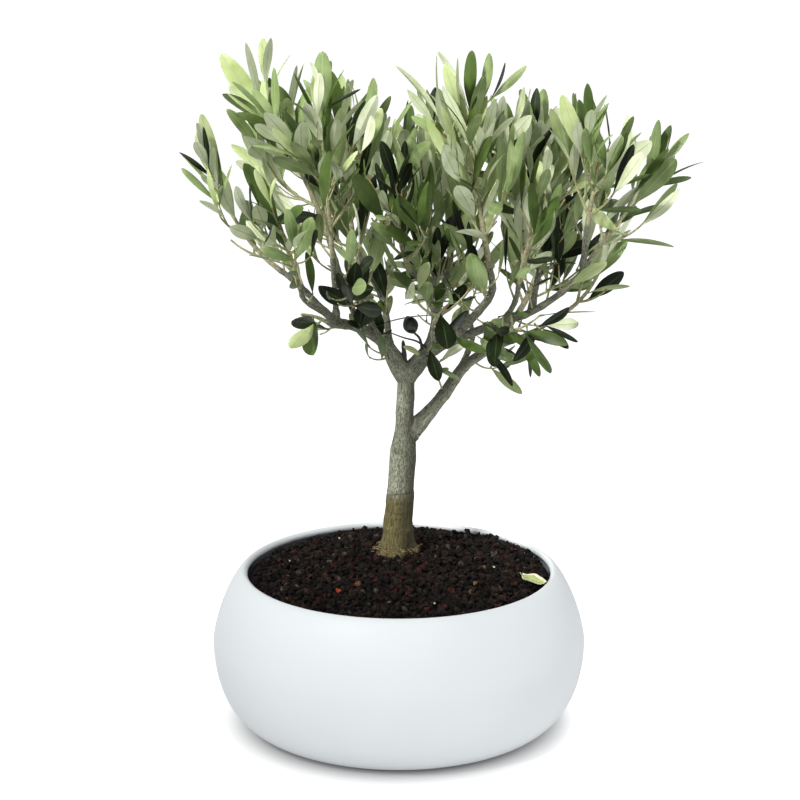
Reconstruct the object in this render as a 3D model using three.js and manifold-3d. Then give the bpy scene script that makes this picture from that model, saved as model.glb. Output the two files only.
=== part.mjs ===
// A young potted olive tree: a squat round bowl of glazed ceramic filled with dark gravel, and in it
// a small olive whose trunk forks low into a few boughs that carry upright leafy shoots.
// Millimetres, +Z up. The origin is the middle of the bowl's flat underside, and -Y is the front.
import * as THREE from "three";
import { mergeVertices } from "three/addons/utils/BufferGeometryUtils.js";
import Module from "manifold-3d";

const wasm = await Module();
wasm.setup();

const QUARTER = Math.PI / 2;
const at = (x, y, z) => new THREE.Vector3(x, y, z);

// Driving dimensions of the bowl and its filling
const BOWL = {
  radius: 120, // at the belly
  height: 102,
  belly: 56, // height of the widest ring
  foot: 84, // radius of the flat underside
  mouth: 97.5, // radius of the opening
  lip: 2.4, // radius of the rounded rim
  wall: 6,
  floor: 9,
  lowerPower: 2.15, // how square the curve below the belly is, 2 being an ellipse
  upperPower: 1.4, // the shoulder is flatter than an ellipse
};
const GRAVEL = {
  top: 107, // flat crown of the mound, which is ground level
  flat: 37, // radius of that flat crown
  edge: 98.4, // height of the gravel at the rim
  play: 0.45, // clearance from the bowl's wall
  lump: 1.3, // how far its surface rises and falls
  level: 24, // how far round the trunk's foot it is level
  inner: 19, // radius of the innermost ring of lumps
  seed: 5,
};
const SEAM = 0.3; // clearance between pieces that touch
const ROUND = 32; // flat faces round the bowl and its filling
const OUTER_STEPS = 4; // straight stretches in each half of the bowl's outer wall
const INNER_STEPS = 2; // and of its inner wall, which the gravel follows
const LIP_STEPS = 3; // and of the rounded rim
const MOUND_STEPS = 6; // rings of lumps on the gravel's slope
const BARK = { trunk: 12, bough: 7, limb: 5, shoot: 3 }; // flat faces round the woody pieces
const BOUGH_RADIUS = 2.9; // a limb thicker than this is a bough

// Driving dimensions of the plant. Angles are in radians, and a pair is a range from low to high.
const LEAF = {
  length: 54, // a full-grown leaf
  sizes: [0.75, 1.11], // how the leaves vary in length
  youth: 0.2, // how much smaller the last leaves of a shoot are
  slim: 0.27, // width as a share of length
  widths: [0.88, 1.12], // how the leaves vary in that
  widest: 0.6, // where along its length it is widest
  root: 0.65, // how thick its stalk's end is
  stalk: 3, // length of the stalk, which may touch its neighbours' stalks
  keel: 0.6, // how far its keel lies below its two edges
  droop: 0.05, // how far the tip bends back, as a share of length
  leanLow: 0.95, // how far it leans from its shoot at the shoot's foot
  leanHigh: 0.35, // and at the shoot's tip
  sway: 0.15, // how far either lean varies
  twist: 0.25, // how far its place round the shoot varies
  lift: 0.25, // how strongly it turns up towards the light
};
const SHOOT = {
  stem: 2, // radius of a mass's own stem
  straight: 0.45, // the share of its length by which the stem follows on straight from its limb
  base: 1.1, // radius where a side shoot starts
  tip: 1.3, // radius at its tip, wide enough to bury the leaves' roots
  bends: 2, // straight stretches in a bent side shoot
  lowest: 0.14, // where along the stem the lowest side shoots start
  highest: 0.8,
  lean: [0.65, 1.05], // how far it leans from the stem
  sizes: [0.8, 1.2], // how the side shoots vary in length
  longest: 1.1, // the length of one at the stem's foot, as a share of the mass's reach
  taper: 0.45, // how much shorter one at the stem's tip is
  lift: 0.75, // how strongly it turns up towards the light
  bare: 0.3, // the share of a side shoot below its first leaves
  bareStem: 16, // the length of a stem below its first leaves
  internode: 13, // distance between pairs of leaves
  last: 0.985, // where on the leafy stretch the last pair grows
};
const CELL_MARGIN = 1.4; // how much nearer a leaf stays to its own mass than to the next
const LIMB_MARGIN = 1.6; // clearance of leaves and shoots from every limb
const TRIES = 4; // how often a leaf or a shoot that doesn't fit is turned before it is skipped
const UP = new THREE.Vector3(0, 0, 1);

const COLOURS = {
  glaze: 0xe9edee,
  gravel: 0x33261f,
  bark: 0x8a8468,
  leaf: 0x76905a,
  olive: 0x23271f,
};

// Seeded dice: each roll gives the next number of one fixed series, scaled to a range
function dice(seed) {
  let state = (seed * 7919 + 12345) >>> 0;
  return (low, high) => {
    state = (Math.imul(state, 1664525) + 1013904223) >>> 0;
    return low + ((high - low) * state) / 2 ** 32;
  };
}

// Solids

function solidOf(geometry) {
  geometry.deleteAttribute("normal");
  geometry.deleteAttribute("uv");
  const merged = mergeVertices(geometry, 1e-4);
  return new wasm.Manifold(
    new wasm.Mesh({
      numProp: 3,
      vertProperties: new Float32Array(merged.attributes.position.array),
      triVerts: new Uint32Array(merged.index.array),
    }),
  );
}

function geometryOf(solid) {
  const mesh = solid.getMesh();
  const geometry = new THREE.BufferGeometry();
  geometry.setAttribute("position", new THREE.BufferAttribute(mesh.vertProperties, 3));
  geometry.setIndex(new THREE.BufferAttribute(mesh.triVerts, 1));
  geometry.computeVertexNormals();
  return geometry;
}

function largest(solid) {
  return solid.decompose().reduce((a, b) => (b.volume() > a.volume() ? b : a));
}

// Two directions square to a run of points at each of them, carried along without twist
function framesAlong(points) {
  const last = points.length - 1;
  const frames = [];
  let side = null;
  points.forEach((point, i) => {
    const ahead = points[Math.min(i + 1, last)].clone().sub(points[Math.max(i - 1, 0)]).normalize();
    if (!side) side = Math.abs(ahead.x) < 0.9 ? at(1, 0, 0) : at(0, 1, 0);
    side = side.clone().addScaledVector(ahead, -side.dot(ahead)).normalize();
    frames.push({ ahead, side, across: side.clone().cross(ahead) });
  });
  return frames;
}

// A closed round bar bent along points, with a radius at each point
function bar(points, radii, sides) {
  const rings = points.length - 1;
  const geometry = new THREE.CylinderGeometry(1, 1, 1, sides, rings);
  const frames = framesAlong(points);
  const position = geometry.attributes.position;
  for (let i = 0; i < position.count; i++) {
    const ring = Math.round((position.getY(i) + 0.5) * rings);
    const { side, across } = frames[ring];
    const place = points[ring]
      .clone()
      .addScaledVector(side, position.getX(i) * radii[ring])
      .addScaledVector(across, position.getZ(i) * radii[ring]);
    position.setXYZ(i, place.x, place.y, place.z);
  }
  return solidOf(geometry);
}

// The bowl and the gravel

// The curve of one wall, from the foot's edge out to the belly and in again to the mouth
function wallCurve({ foot, radius, mouth, low, belly, high, steps }) {
  const curve = [];
  for (let i = 0; i <= steps; i++) {
    const turn = (i / steps) * QUARTER;
    const power = 2 / BOWL.lowerPower;
    curve.push([
      foot + (radius - foot) * Math.sin(turn) ** power,
      low + (belly - low) * (1 - Math.cos(turn) ** power),
    ]);
  }
  for (let i = 1; i <= steps; i++) {
    const turn = (i / steps) * QUARTER;
    const power = 2 / BOWL.upperPower;
    curve.push([
      mouth + (radius - mouth) * Math.max(0, Math.cos(turn)) ** power,
      belly + (high - belly) * Math.sin(turn) ** power,
    ]);
  }
  return curve;
}

const outerWall = (steps) =>
  wallCurve({
    foot: BOWL.foot,
    radius: BOWL.radius,
    mouth: BOWL.mouth + BOWL.lip,
    low: 0,
    belly: BOWL.belly,
    high: BOWL.height,
    steps,
  });

const innerWall = (steps, play) =>
  wallCurve({
    foot: BOWL.foot - BOWL.wall / 2 - play,
    radius: BOWL.radius - BOWL.wall - play,
    mouth: BOWL.mouth + BOWL.lip,
    low: BOWL.floor + play,
    belly: BOWL.belly,
    high: BOWL.height - 2 * BOWL.lip - play,
    steps,
  });

function bowl() {
  const profile = [[0, 0], ...outerWall(OUTER_STEPS)];
  for (let i = 1; i < LIP_STEPS; i++) {
    const turn = QUARTER + (i / LIP_STEPS) * Math.PI;
    profile.push([
      BOWL.mouth + BOWL.lip + BOWL.lip * Math.cos(turn),
      BOWL.height - BOWL.lip + BOWL.lip * Math.sin(turn),
    ]);
  }
  profile.push(...innerWall(INNER_STEPS, 0).reverse(), [0, BOWL.floor]);
  return latheUp(profile, ROUND);
}

// A profile of [radius, height] turned round the +Z axis. Each of its points is raised by what lump gives
// for its place in the profile, its side and where it lies.
function latheUp(profile, sides, lump = () => 0) {
  const points = profile.map(([r, z]) => new THREE.Vector2(Math.max(r, 0), z));
  const geometry = new THREE.LatheGeometry(points, sides);
  geometry.rotateX(Math.PI / 2);
  const position = geometry.attributes.position;
  for (let i = 0; i < position.count; i++) {
    const side = Math.floor(i / points.length) % sides;
    const raise = lump(i % points.length, side, at(position.getX(i), position.getY(i), 0));
    position.setZ(i, position.getZ(i) + raise);
  }
  return solidOf(geometry);
}

// The mound's height at a distance from the middle
function gravelHeight(r) {
  return GRAVEL.top + (GRAVEL.edge - GRAVEL.top) * smoothStep(GRAVEL.flat, BOWL.mouth, r);
}

// The mound is uneven between its rim and its middle, and level round the trunk's foot
function gravel() {
  const rim = BOWL.mouth - GRAVEL.play;
  const profile = [[0, BOWL.floor + GRAVEL.play], ...innerWall(INNER_STEPS, GRAVEL.play)];
  profile.at(-1)[0] = rim;
  const rimRing = profile.length;
  for (let i = 0; i <= MOUND_STEPS; i++) {
    const r = rim + ((GRAVEL.inner - rim) * i) / MOUND_STEPS;
    profile.push([r, gravelHeight(r)]);
  }
  const middle = profile.length;
  profile.push([0, GRAVEL.top]);
  const roll = dice(GRAVEL.seed);
  const lumps = profile.map(() => Array.from({ length: ROUND }, () => roll(-GRAVEL.lump, GRAVEL.lump)));
  const foot = at(TRUNK.foot.x, TRUNK.foot.y, 0);
  return latheUp(profile, ROUND, (ring, side, place) => {
    const level = ring <= rimRing || ring === middle || place.distanceTo(foot) < GRAVEL.level;
    return level ? 0 : lumps[ring][side];
  });
}

// The trunk's foot stands on the gravel
const TRUNK = {
  foot: at(-1.2, 20, 105), // below the ground, where the flat cut takes it off
  rise: [at(0.7, 20, 141), at(2.5, 20, 168), at(3.6, 20, 192), at(4.6, 20, 226)],
  low: 9.4, // radius above the root flare
  taper: 1.6, // what it loses towards the top
  high: 5.5, // radius above the low bough
  stepFrom: 0.56, // the share of its height from where the low bough takes its part away
  stepTo: 0.76,
  flare: 4.6, // what the root flare adds at the ground
  flareShare: 0.07,
  rings: 14,
  crown: 0.6, // how far the top ring closes, inside the fork
};

// The limbs. Each leaves its parent at a share of the parent's length, runs through its points, and
// tapers evenly from one radius to the other.
const grows = (on, from, thick, ...to) => ({ on, from, thick, to });
const LIMBS = {
  left_bough: grows("trunk", 0.97, [5, 2.6], at(-9, 18, 245), at(-23, 12, 256), at(-41, 5, 263)),
  middle_bough: grows("trunk", 0.97, [4.9, 2.8], at(17, 20, 239), at(22, 18, 251), at(24, 18, 266)),
  low_right_bough: grows(
    "trunk", 0.63, [4.8, 2.2],
    at(27, 28, 207), at(42, 40, 225), at(60, 54, 235), at(76, 70, 251),
  ),
  right_bough: grows(
    "middle_bough", 0.42, [3.3, 1.6],
    at(40, 8, 252), at(63, 0, 263), at(83, -5, 271), at(106, -8, 288), at(119, -10, 306),
  ),
  left_outer_limb: grows("left_bough", 1, [2.1, 1.7], at(-62, 2, 286), at(-76, 0, 298)),
  left_tall_limb: grows("left_bough", 0.97, [2, 1.6], at(-40, -6, 287), at(-41, -14, 308)),
  left_front_limb: grows("left_bough", 0.92, [1.9, 1.5], at(-57, -14, 279), at(-61, -20, 289)),
  left_low_limb: grows("left_bough", 0.8, [1.7, 1.3], at(-40, -6, 262), at(-46, -14, 267)),
  left_upper_limb: grows("left_bough", 0.72, [2.1, 1.6], at(-36, 12, 288), at(-45, 10, 318)),
  left_back_limb: grows("left_bough", 0.55, [2.1, 1.6], at(-23, 26, 284), at(-29, 34, 312)),
  left_rear_limb: grows("left_bough", 0.3, [2.4, 1.7], at(-10, 38, 268), at(-22, 60, 288)),
  inner_left_limb: grows("left_bough", 0.42, [1.9, 1.4], at(-18, 2, 266), at(-22, -8, 276)),
  centre_front_limb: grows("middle_bough", 0.98, [2.1, 1.6], at(16, 6, 284), at(8, -8, 298)),
  centre_back_limb: grows("middle_bough", 0.99, [2.5, 1.8], at(23, 34, 284), at(19, 46, 300)),
  centre_low_limb: grows("middle_bough", 0.8, [1.9, 1.3], at(23, 4, 259), at(22, -8, 263)),
  rear_limb: grows("middle_bough", 0.72, [2.5, 1.7], at(26, 42, 265), at(32, 68, 282)),
  front_limb: grows("right_bough", 0.14, [3, 2], at(47, -12, 270), at(57, -27, 288), at(55, -34, 306)),
  right_low_limb: grows("right_bough", 0.36, [1.8, 1.3], at(62, -14, 258), at(66, -24, 262)),
  right_inner_limb: grows("right_bough", 0.46, [1.9, 1.5], at(72, -16, 280), at(74, -24, 294)),
  right_back_limb: grows("right_bough", 0.6, [2.1, 1.6], at(87, 8, 288), at(90, 14, 302)),
  right_tall_limb: grows("right_bough", 0.93, [1.8, 1.5], at(114, -21, 318), at(115, -26, 330)),
  right_outer_limb: grows("low_right_bough", 0.7, [2, 1.4], at(86, 44, 247), at(108, 36, 263)),
  rear_low_limb: grows("low_right_bough", 0.45, [2.1, 1.5], at(48, 62, 238), at(46, 80, 250)),
  fork_stub: grows("trunk", 0.97, [1.9, 1.1], at(3.4, 17.5, 238), at(2.6, 16, 248)),
};

// The one fruit: it stands up from a short stalk on the middle bough
const OLIVE = {
  on: "middle_bough",
  from: 0.36,
  stalk: at(13.5, 13.5, 249),
  bottom: at(9.6, 11, 253.6),
  top: at(5, 9, 265.2),
  radius: 4.9,
  fullness: 0.6, // below 1 the olive is fuller than a sine's arch
  stalkRadius: 0.7,
  rings: 6,
};

// The masses of leaves. Each grows on from the tip of one limb to its own tip, with side shoots round it
// that reach so far, and its leaves stay within its room, a distance from its stem. Where lift is given,
// the leaves turn up less than the rest, or hang.
const MASSES = {
  far_left: { on: "left_outer_limb", tip: at(-111, -6, 350), shoots: 3, reach: 26, room: 48, seed: 73 },
  left_front: { on: "left_front_limb", tip: at(-72, -44, 334), shoots: 4, reach: 34, room: 54, seed: 6 },
  left_low: {
    on: "left_low_limb", tip: at(-60, -28, 274),
    shoots: 2, reach: 18, room: 56, seed: 92, lift: -0.2,
  },
  left_top: { on: "left_tall_limb", tip: at(-47, -36, 392), shoots: 4, reach: 36, room: 54, seed: 22 },
  upper_left: { on: "left_upper_limb", tip: at(-85, 10, 394), shoots: 4, reach: 36, room: 54, seed: 29 },
  left_back: { on: "left_back_limb", tip: at(-25, 44, 378), shoots: 4, reach: 36, room: 56, seed: 46 },
  left_rear: { on: "left_rear_limb", tip: at(-62, 92, 344), shoots: 5, reach: 44, room: 62, seed: 46 },
  inner_left: {
    on: "inner_left_limb", tip: at(-30, -44, 306),
    shoots: 4, reach: 38, room: 58, seed: 71, lift: 0.1,
  },
  centre_front: { on: "centre_front_limb", tip: at(2, -44, 352), shoots: 5, reach: 40, room: 58, seed: 46 },
  centre_back: { on: "centre_back_limb", tip: at(4, 56, 364), shoots: 4, reach: 36, room: 58, seed: 34 },
  centre_low: {
    on: "centre_low_limb", tip: at(30, -46, 284),
    shoots: 4, reach: 32, room: 60, seed: 64, lift: -0.1,
  },
  rear: { on: "rear_limb", tip: at(36, 108, 344), shoots: 5, reach: 44, room: 62, seed: 29 },
  front: { on: "front_limb", tip: at(42, -44, 401), shoots: 5, reach: 40, room: 60, seed: 3 },
  right_low: {
    on: "right_low_limb", tip: at(76, -38, 266),
    shoots: 3, reach: 22, room: 56, seed: 71, lift: -0.25,
  },
  right_inner: { on: "right_inner_limb", tip: at(88, -32, 350), shoots: 4, reach: 36, room: 56, seed: 78 },
  right_back: { on: "right_back_limb", tip: at(77, 18, 368), shoots: 5, reach: 40, room: 60, seed: 80 },
  right_top: { on: "right_tall_limb", tip: at(121, -26, 368), shoots: 4, reach: 30, room: 54, seed: 32 },
  far_right: { on: "right_bough", tip: at(153, -6, 348), shoots: 4, reach: 26, room: 46, seed: 30 },
  right_rear: { on: "low_right_bough", tip: at(98, 88, 326), shoots: 5, reach: 44, room: 62, seed: 85 },
  right_outer: { on: "right_outer_limb", tip: at(132, 34, 298), shoots: 3, reach: 30, room: 54, seed: 77 },
  rear_low: {
    on: "rear_low_limb", tip: at(34, 114, 280),
    shoots: 3, reach: 36, room: 56, seed: 11, lift: 0,
  },
};

// Points on the smooth curve through a limb's points
function curvePoints(through, count) {
  const curve = new THREE.CatmullRomCurve3(through, false, "catmullrom", 0.5);
  return Array.from({ length: count + 1 }, (_, i) => curve.getPoint(i / count));
}

const lengthOf = (points) => points.slice(1).reduce((sum, p, i) => sum + p.distanceTo(points[i]), 0);

// Where a share of a run of points lies, by its length
function pointAlong(points, share) {
  let left = share * lengthOf(points);
  for (let i = 1; i < points.length; i++) {
    const step = points[i].distanceTo(points[i - 1]);
    if (left <= step) return points[i - 1].clone().lerp(points[i], left / step);
    left -= step;
  }
  return points.at(-1).clone();
}

// A smooth step from 0 to 1 between two values
function smoothStep(from, to, value) {
  const share = Math.min(1, Math.max(0, (value - from) / (to - from)));
  return share * share * (3 - 2 * share);
}

// The trunk's radius at a share of its height
function trunkRadius(share) {
  const shaft = TRUNK.low - TRUNK.taper * share;
  const step = (TRUNK.low - TRUNK.taper - TRUNK.high) * smoothStep(TRUNK.stepFrom, TRUNK.stepTo, share);
  return shaft - step + TRUNK.flare * Math.exp(-share / TRUNK.flareShare);
}

// Each limb as its points and radii, which the leaves keep clear of
const limbs = new Map();
const trunkPoints = curvePoints([TRUNK.foot, ...TRUNK.rise], TRUNK.rings);
const trunkRadii = trunkPoints.map((p, i) => trunkRadius(i / TRUNK.rings));
trunkRadii[TRUNK.rings] *= TRUNK.crown;
limbs.set("trunk", { points: trunkPoints, radii: trunkRadii });
for (const [name, limb] of Object.entries(LIMBS)) {
  const parent = limbs.get(limb.on);
  const start = pointAlong(parent.points, limb.from);
  const steps = 2 * limb.to.length;
  const points = curvePoints([start, ...limb.to], steps);
  const radii = points.map((p, i) => limb.thick[0] + ((limb.thick[1] - limb.thick[0]) * i) / steps);
  limbs.set(name, { points, radii });
}

// The olive is a bar that swells from its stalk's end to its top
function oliveRadius(share) {
  const swell = Math.sin(share * Math.PI) ** OLIVE.fullness;
  return OLIVE.stalkRadius + (OLIVE.radius - OLIVE.stalkRadius) * swell;
}
const fleshShares = Array.from({ length: OLIVE.rings + 1 }, (_, i) => i / OLIVE.rings);
const fleshPoints = fleshShares.map((share) => OLIVE.bottom.clone().lerp(OLIVE.top, share));
limbs.set("olive", {
  points: [pointAlong(limbs.get(OLIVE.on).points, OLIVE.from), OLIVE.stalk, ...fleshPoints],
  radii: [OLIVE.stalkRadius, OLIVE.stalkRadius, ...fleshShares.map(oliveRadius)],
});

// The nearest that a point comes to the line from a to b
function distanceToLine(point, a, b) {
  const along = b.clone().sub(a);
  const share = Math.min(1, Math.max(0, point.clone().sub(a).dot(along) / along.lengthSq()));
  return point.distanceTo(a.clone().addScaledVector(along, share));
}

// The least gap between any limb's bark and a point
function gapToLimbs(point) {
  let gap = Infinity;
  for (const { points, radii } of limbs.values()) {
    for (let i = 1; i < points.length; i++) {
      const thick = Math.max(radii[i - 1], radii[i]);
      gap = Math.min(gap, distanceToLine(point, points[i - 1], points[i]) - thick);
    }
  }
  return gap;
}

// The masses' growth

// A mass's stem, from its limb's tip to its own tip
function stemOf(mass) {
  const limb = limbs.get(mass.on).points;
  const ahead = limb.at(-1).clone().sub(limb.at(-2)).normalize();
  const root = limb.at(-1).clone().addScaledVector(ahead, SEAM);
  const knee = root.clone().addScaledVector(ahead, root.distanceTo(mass.tip) * SHOOT.straight);
  return new THREE.QuadraticBezierCurve3(root, knee, mass.tip).getPoints(2 * SHOOT.bends);
}

const stems = new Map(Object.entries(MASSES).map(([name, mass]) => [name, stemOf(mass)]));

function distanceToStem(point, stem) {
  return Math.min(...stem.slice(1).map((end, i) => distanceToLine(point, stem[i], end)));
}

// Whether a point is in the mass's own space: within its room, and nearer to its stem than to any other
function inSpace(name, point) {
  const near = distanceToStem(point, stems.get(name));
  if (near > MASSES[name].room) return false;
  for (const [other, stem] of stems)
    if (other !== name && distanceToStem(point, stem) < near + CELL_MARGIN) return false;
  return true;
}

// A shoot sets out one way and turns up towards the light
function shootPoints(start, setsOut, length) {
  const ends = setsOut.clone().addScaledVector(UP, SHOOT.lift).normalize();
  const knee = start.clone().addScaledVector(setsOut, length / 2);
  const tip = knee.clone().addScaledVector(ends, length / 2);
  return new THREE.QuadraticBezierCurve3(start, knee, tip).getPoints(SHOOT.bends);
}

// Whether a side shoot lies in the mass's space and clear of the limbs
function shootFits(name, points) {
  const checks = [0.15, 0.3, 0.45, 0.6, 0.8, 1].map((share) => pointAlong(points, share));
  return checks.every((point) => gapToLimbs(point) > LIMB_MARGIN + SHOOT.base && inSpace(name, point));
}

// The frame at a share of a shoot's length
const frameAt = (frames, share) => frames[Math.round(share * (frames.length - 1))];

// A direction that leans so far from ahead, towards the side that a turn about ahead gives
function leaning(frame, turn, lean) {
  const outwards = frame.side.clone().multiplyScalar(Math.cos(turn));
  outwards.addScaledVector(frame.across, Math.sin(turn));
  return frame.ahead.clone().multiplyScalar(Math.cos(lean)).addScaledVector(outwards, Math.sin(lean));
}

// The mass's shoots: its stem, and side shoots in opposite pairs that turn a quarter from one pair to
// the next, the lower ones longer. One that doesn't fit is turned, and at last skipped.
function shootsOf(name, roll) {
  const mass = MASSES[name];
  const stem = stems.get(name);
  const bare = Math.min(0.5, SHOOT.bareStem / stem[0].distanceTo(mass.tip));
  const shoots = [{ points: stem, thick: [SHOOT.stem, SHOOT.stem], bare }];
  const frames = framesAlong(stem);
  const first = roll(0, Math.PI);
  const pairs = Math.ceil(mass.shoots / 2);
  for (let i = 0; i < mass.shoots; i++) {
    const pair = Math.floor(i / 2);
    const share = SHOOT.lowest + ((SHOOT.highest - SHOOT.lowest) * (pair + roll(0, 0.3))) / pairs;
    const start = pointAlong(stem, share);
    const length = mass.reach * (SHOOT.longest - SHOOT.taper * share) * roll(...SHOOT.sizes);
    for (let attempt = 0; attempt < TRIES; attempt++) {
      const swing = 0.25 + attempt / 2;
      const turn = first + pair * QUARTER + (i % 2) * Math.PI + roll(-swing, swing);
      const setsOut = leaning(frameAt(frames, share), turn, roll(...SHOOT.lean));
      const points = shootPoints(start, setsOut, length);
      if (!shootFits(name, points)) continue;
      shoots.push({ points, thick: [SHOOT.base, SHOOT.tip], bare: SHOOT.bare });
      break;
    }
  }
  return shoots;
}

// The leaves of a mass, in pairs along each shoot that turn a quarter from one pair to the next. Leaves
// near the tip stand closer to the shoot and are a little smaller. One that doesn't fit is turned, and
// at last skipped.
function leavesOf(name, shoots, roll) {
  const lift = MASSES[name].lift ?? LEAF.lift;
  const leaves = [];
  for (const shoot of shoots) {
    const frames = framesAlong(shoot.points);
    const leafy = lengthOf(shoot.points) * (1 - shoot.bare);
    const pairs = Math.max(2, Math.round(leafy / SHOOT.internode) + 1);
    const first = roll(0, Math.PI);
    for (let i = 2 * pairs - 1; i >= 0; i--) {
      const pair = Math.floor(i / 2);
      const ripe = pair / (pairs - 1);
      const share = shoot.bare + (1 - shoot.bare) * ripe * SHOOT.last;
      const start = pointAlong(shoot.points, share);
      const frame = frameAt(frames, share);
      for (let attempt = 0; attempt < TRIES; attempt++) {
        const twist = LEAF.twist * (1 + attempt);
        const sway = LEAF.sway * (1 + attempt / 2);
        const turn = first + pair * QUARTER + ((i + 1) % 2) * Math.PI + roll(-twist, twist);
        const lean = LEAF.leanLow + (LEAF.leanHigh - LEAF.leanLow) * ripe + roll(-sway, sway);
        const way = leaning(frame, turn, lean).addScaledVector(UP, lift).normalize();
        const length = LEAF.length * (1 - LEAF.youth * ripe * ripe) * roll(...LEAF.sizes);
        const face = frame.ahead.clone().addScaledVector(way, -frame.ahead.dot(way)).normalize();
        const width = length * LEAF.slim * roll(...LEAF.widths);
        const leaf = { start, way, face, length, width };
        if (!leafFits(name, leaf)) continue;
        if (leaves.some((other) => leavesCross(leaf, other))) continue;
        if (shoots.some((other) => other !== shoot && shootCuts(other, leaf))) continue;
        leaves.push(leaf);
        break;
      }
    }
  }
  return leaves;
}

// The corners of a leaf: its two widest points, its tip, and the middle between the widest points
function leafOutline({ start, way, face, length, width }) {
  const wide = way.clone().cross(face);
  const middle = start.clone().addScaledVector(way, length * LEAF.widest).addScaledVector(face, LEAF.keel);
  const left = middle.clone().addScaledVector(wide, -width / 2);
  const right = middle.clone().addScaledVector(wide, width / 2);
  const tip = start.clone().addScaledVector(way, length).addScaledVector(face, -length * LEAF.droop);
  return { left, right, tip, middle, wide };
}

// Whether a leaf lies in the mass's space and clear of the limbs
function leafFits(name, leaf) {
  const { left, right, tip, middle } = leafOutline(leaf);
  const checks = [left, right, tip, middle];
  for (const share of [0.25, 0.5, 0.75]) {
    checks.push(leaf.start.clone().lerp(left, share), left.clone().lerp(tip, share));
    checks.push(leaf.start.clone().lerp(right, share), right.clone().lerp(tip, share));
    checks.push(leaf.start.clone().lerp(tip, share));
  }
  return checks.every((point) => gapToLimbs(point) > LIMB_MARGIN && inSpace(name, point));
}

// A leaf's blade beyond its stalk, as two flat triangles and the four edges round them
function bladeOf(leaf) {
  const { left, right, tip } = leafOutline(leaf);
  const neck = leaf.start.clone().addScaledVector(leaf.way, LEAF.stalk);
  return {
    sheets: [[neck, left, right], [left, tip, right]],
    edges: [[neck, left], [left, tip], [tip, right], [right, neck]],
  };
}

// Whether the line between two points passes through a flat triangle
function pierces([from, to], [a, b, c]) {
  const ray = new THREE.Ray(from, to.clone().sub(from).normalize());
  const hit = ray.intersectTriangle(a, b, c, false, new THREE.Vector3());
  return hit !== null && hit.distanceTo(from) < from.distanceTo(to);
}

function leavesCross(one, two) {
  const [first, second] = [bladeOf(one), bladeOf(two)];
  const through = (edges, sheets) => edges.some((edge) => sheets.some((sheet) => pierces(edge, sheet)));
  return through(first.edges, second.sheets) || through(second.edges, first.sheets);
}

function shootCuts(shoot, leaf) {
  const stretches = shoot.points.slice(1).map((end, i) => [shoot.points[i], end]);
  return stretches.some((stretch) => bladeOf(leaf).sheets.some((sheet) => pierces(stretch, sheet)));
}

// A leaf as a stretched octahedron: one face is sunk in the shoot, and the face opposite it holds
// the leaf's two widest points and its tip
function leafSolid(leaf) {
  const { left, right, tip, wide } = leafOutline(leaf);
  const root = leaf.start;
  const half = LEAF.root / 2;
  const lower = root.clone().addScaledVector(leaf.face, -half);
  const corners = new Map([
    ["x+", lower.clone().addScaledVector(wide, -half)],
    ["y+", lower.clone().addScaledVector(wide, half)],
    ["z+", root.clone().addScaledVector(leaf.face, half)],
    ["x-", right],
    ["y-", left],
    ["z-", tip],
  ]);
  const geometry = new THREE.OctahedronGeometry(1);
  const position = geometry.attributes.position;
  for (let i = 0; i < position.count; i++) {
    const values = { x: position.getX(i), y: position.getY(i), z: position.getZ(i) };
    const axis = Object.keys(values).find((key) => Math.abs(values[key]) > 0.5);
    const corner = corners.get(axis + (values[axis] > 0 ? "+" : "-"));
    position.setXYZ(i, corner.x, corner.y, corner.z);
  }
  return solidOf(geometry);
}

// One mass as a single solid: its shoots, and every leaf that fits
function massSolid(name) {
  const roll = dice(MASSES[name].seed);
  const shoots = shootsOf(name, roll);
  const pieces = shoots.map(({ points, thick }) => {
    const steps = points.length - 1;
    const radii = points.map((p, i) => thick[0] + ((thick[1] - thick[0]) * i) / steps);
    return bar(points, radii, BARK.shoot);
  });
  pieces.push(...leavesOf(name, shoots, roll).map(leafSolid));
  return largest(wasm.Manifold.union(pieces));
}

// The part

const tree = new THREE.Group();
function add(name, solid, color, roughness) {
  const mesh = new THREE.Mesh(
    geometryOf(solid),
    new THREE.MeshStandardMaterial({ color, roughness, metalness: 0 }),
  );
  mesh.name = name;
  tree.add(mesh);
}

add("bowl", bowl(), COLOURS.glaze, 0.15);
add("gravel", gravel(), COLOURS.gravel, 0.95);

// How many flat faces go round a limb
function sidesOf(name, radii) {
  if (name === "trunk") return BARK.trunk;
  return Math.max(...radii) > BOUGH_RADIUS ? BARK.bough : BARK.limb;
}

// Each limb is cut back from those made before it, which clears it from its parent. The trunk is also
// cut off flat at the ground.
const cutters = [];
for (const [name, { points, radii }] of limbs) {
  const sides = sidesOf(name, radii);
  let solid = bar(points, radii, sides);
  if (name === "trunk") solid = solid.trimByPlane([0, 0, 1], GRAVEL.top + SEAM);
  for (const cutter of cutters) solid = largest(solid.subtract(cutter));
  cutters.push(bar(points, radii.map((r) => r + SEAM), sides));
  if (name === "olive") add(name, solid, COLOURS.olive, 0.35);
  else add(name, solid, COLOURS.bark, 0.9);
}
for (const name of Object.keys(MASSES)) add(`${name}_leaves`, massSolid(name), COLOURS.leaf, 0.5);

export default tree;
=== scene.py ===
# A young olive tree in a squat glazed bowl of dark gravel. It is made in millimetres and set down in
# metres. The origin is the middle of the bowl's flat underside, +Z is up and -Y is the front.
import math

import bmesh
import bpy
import numpy as np
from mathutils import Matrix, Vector, noise


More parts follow.
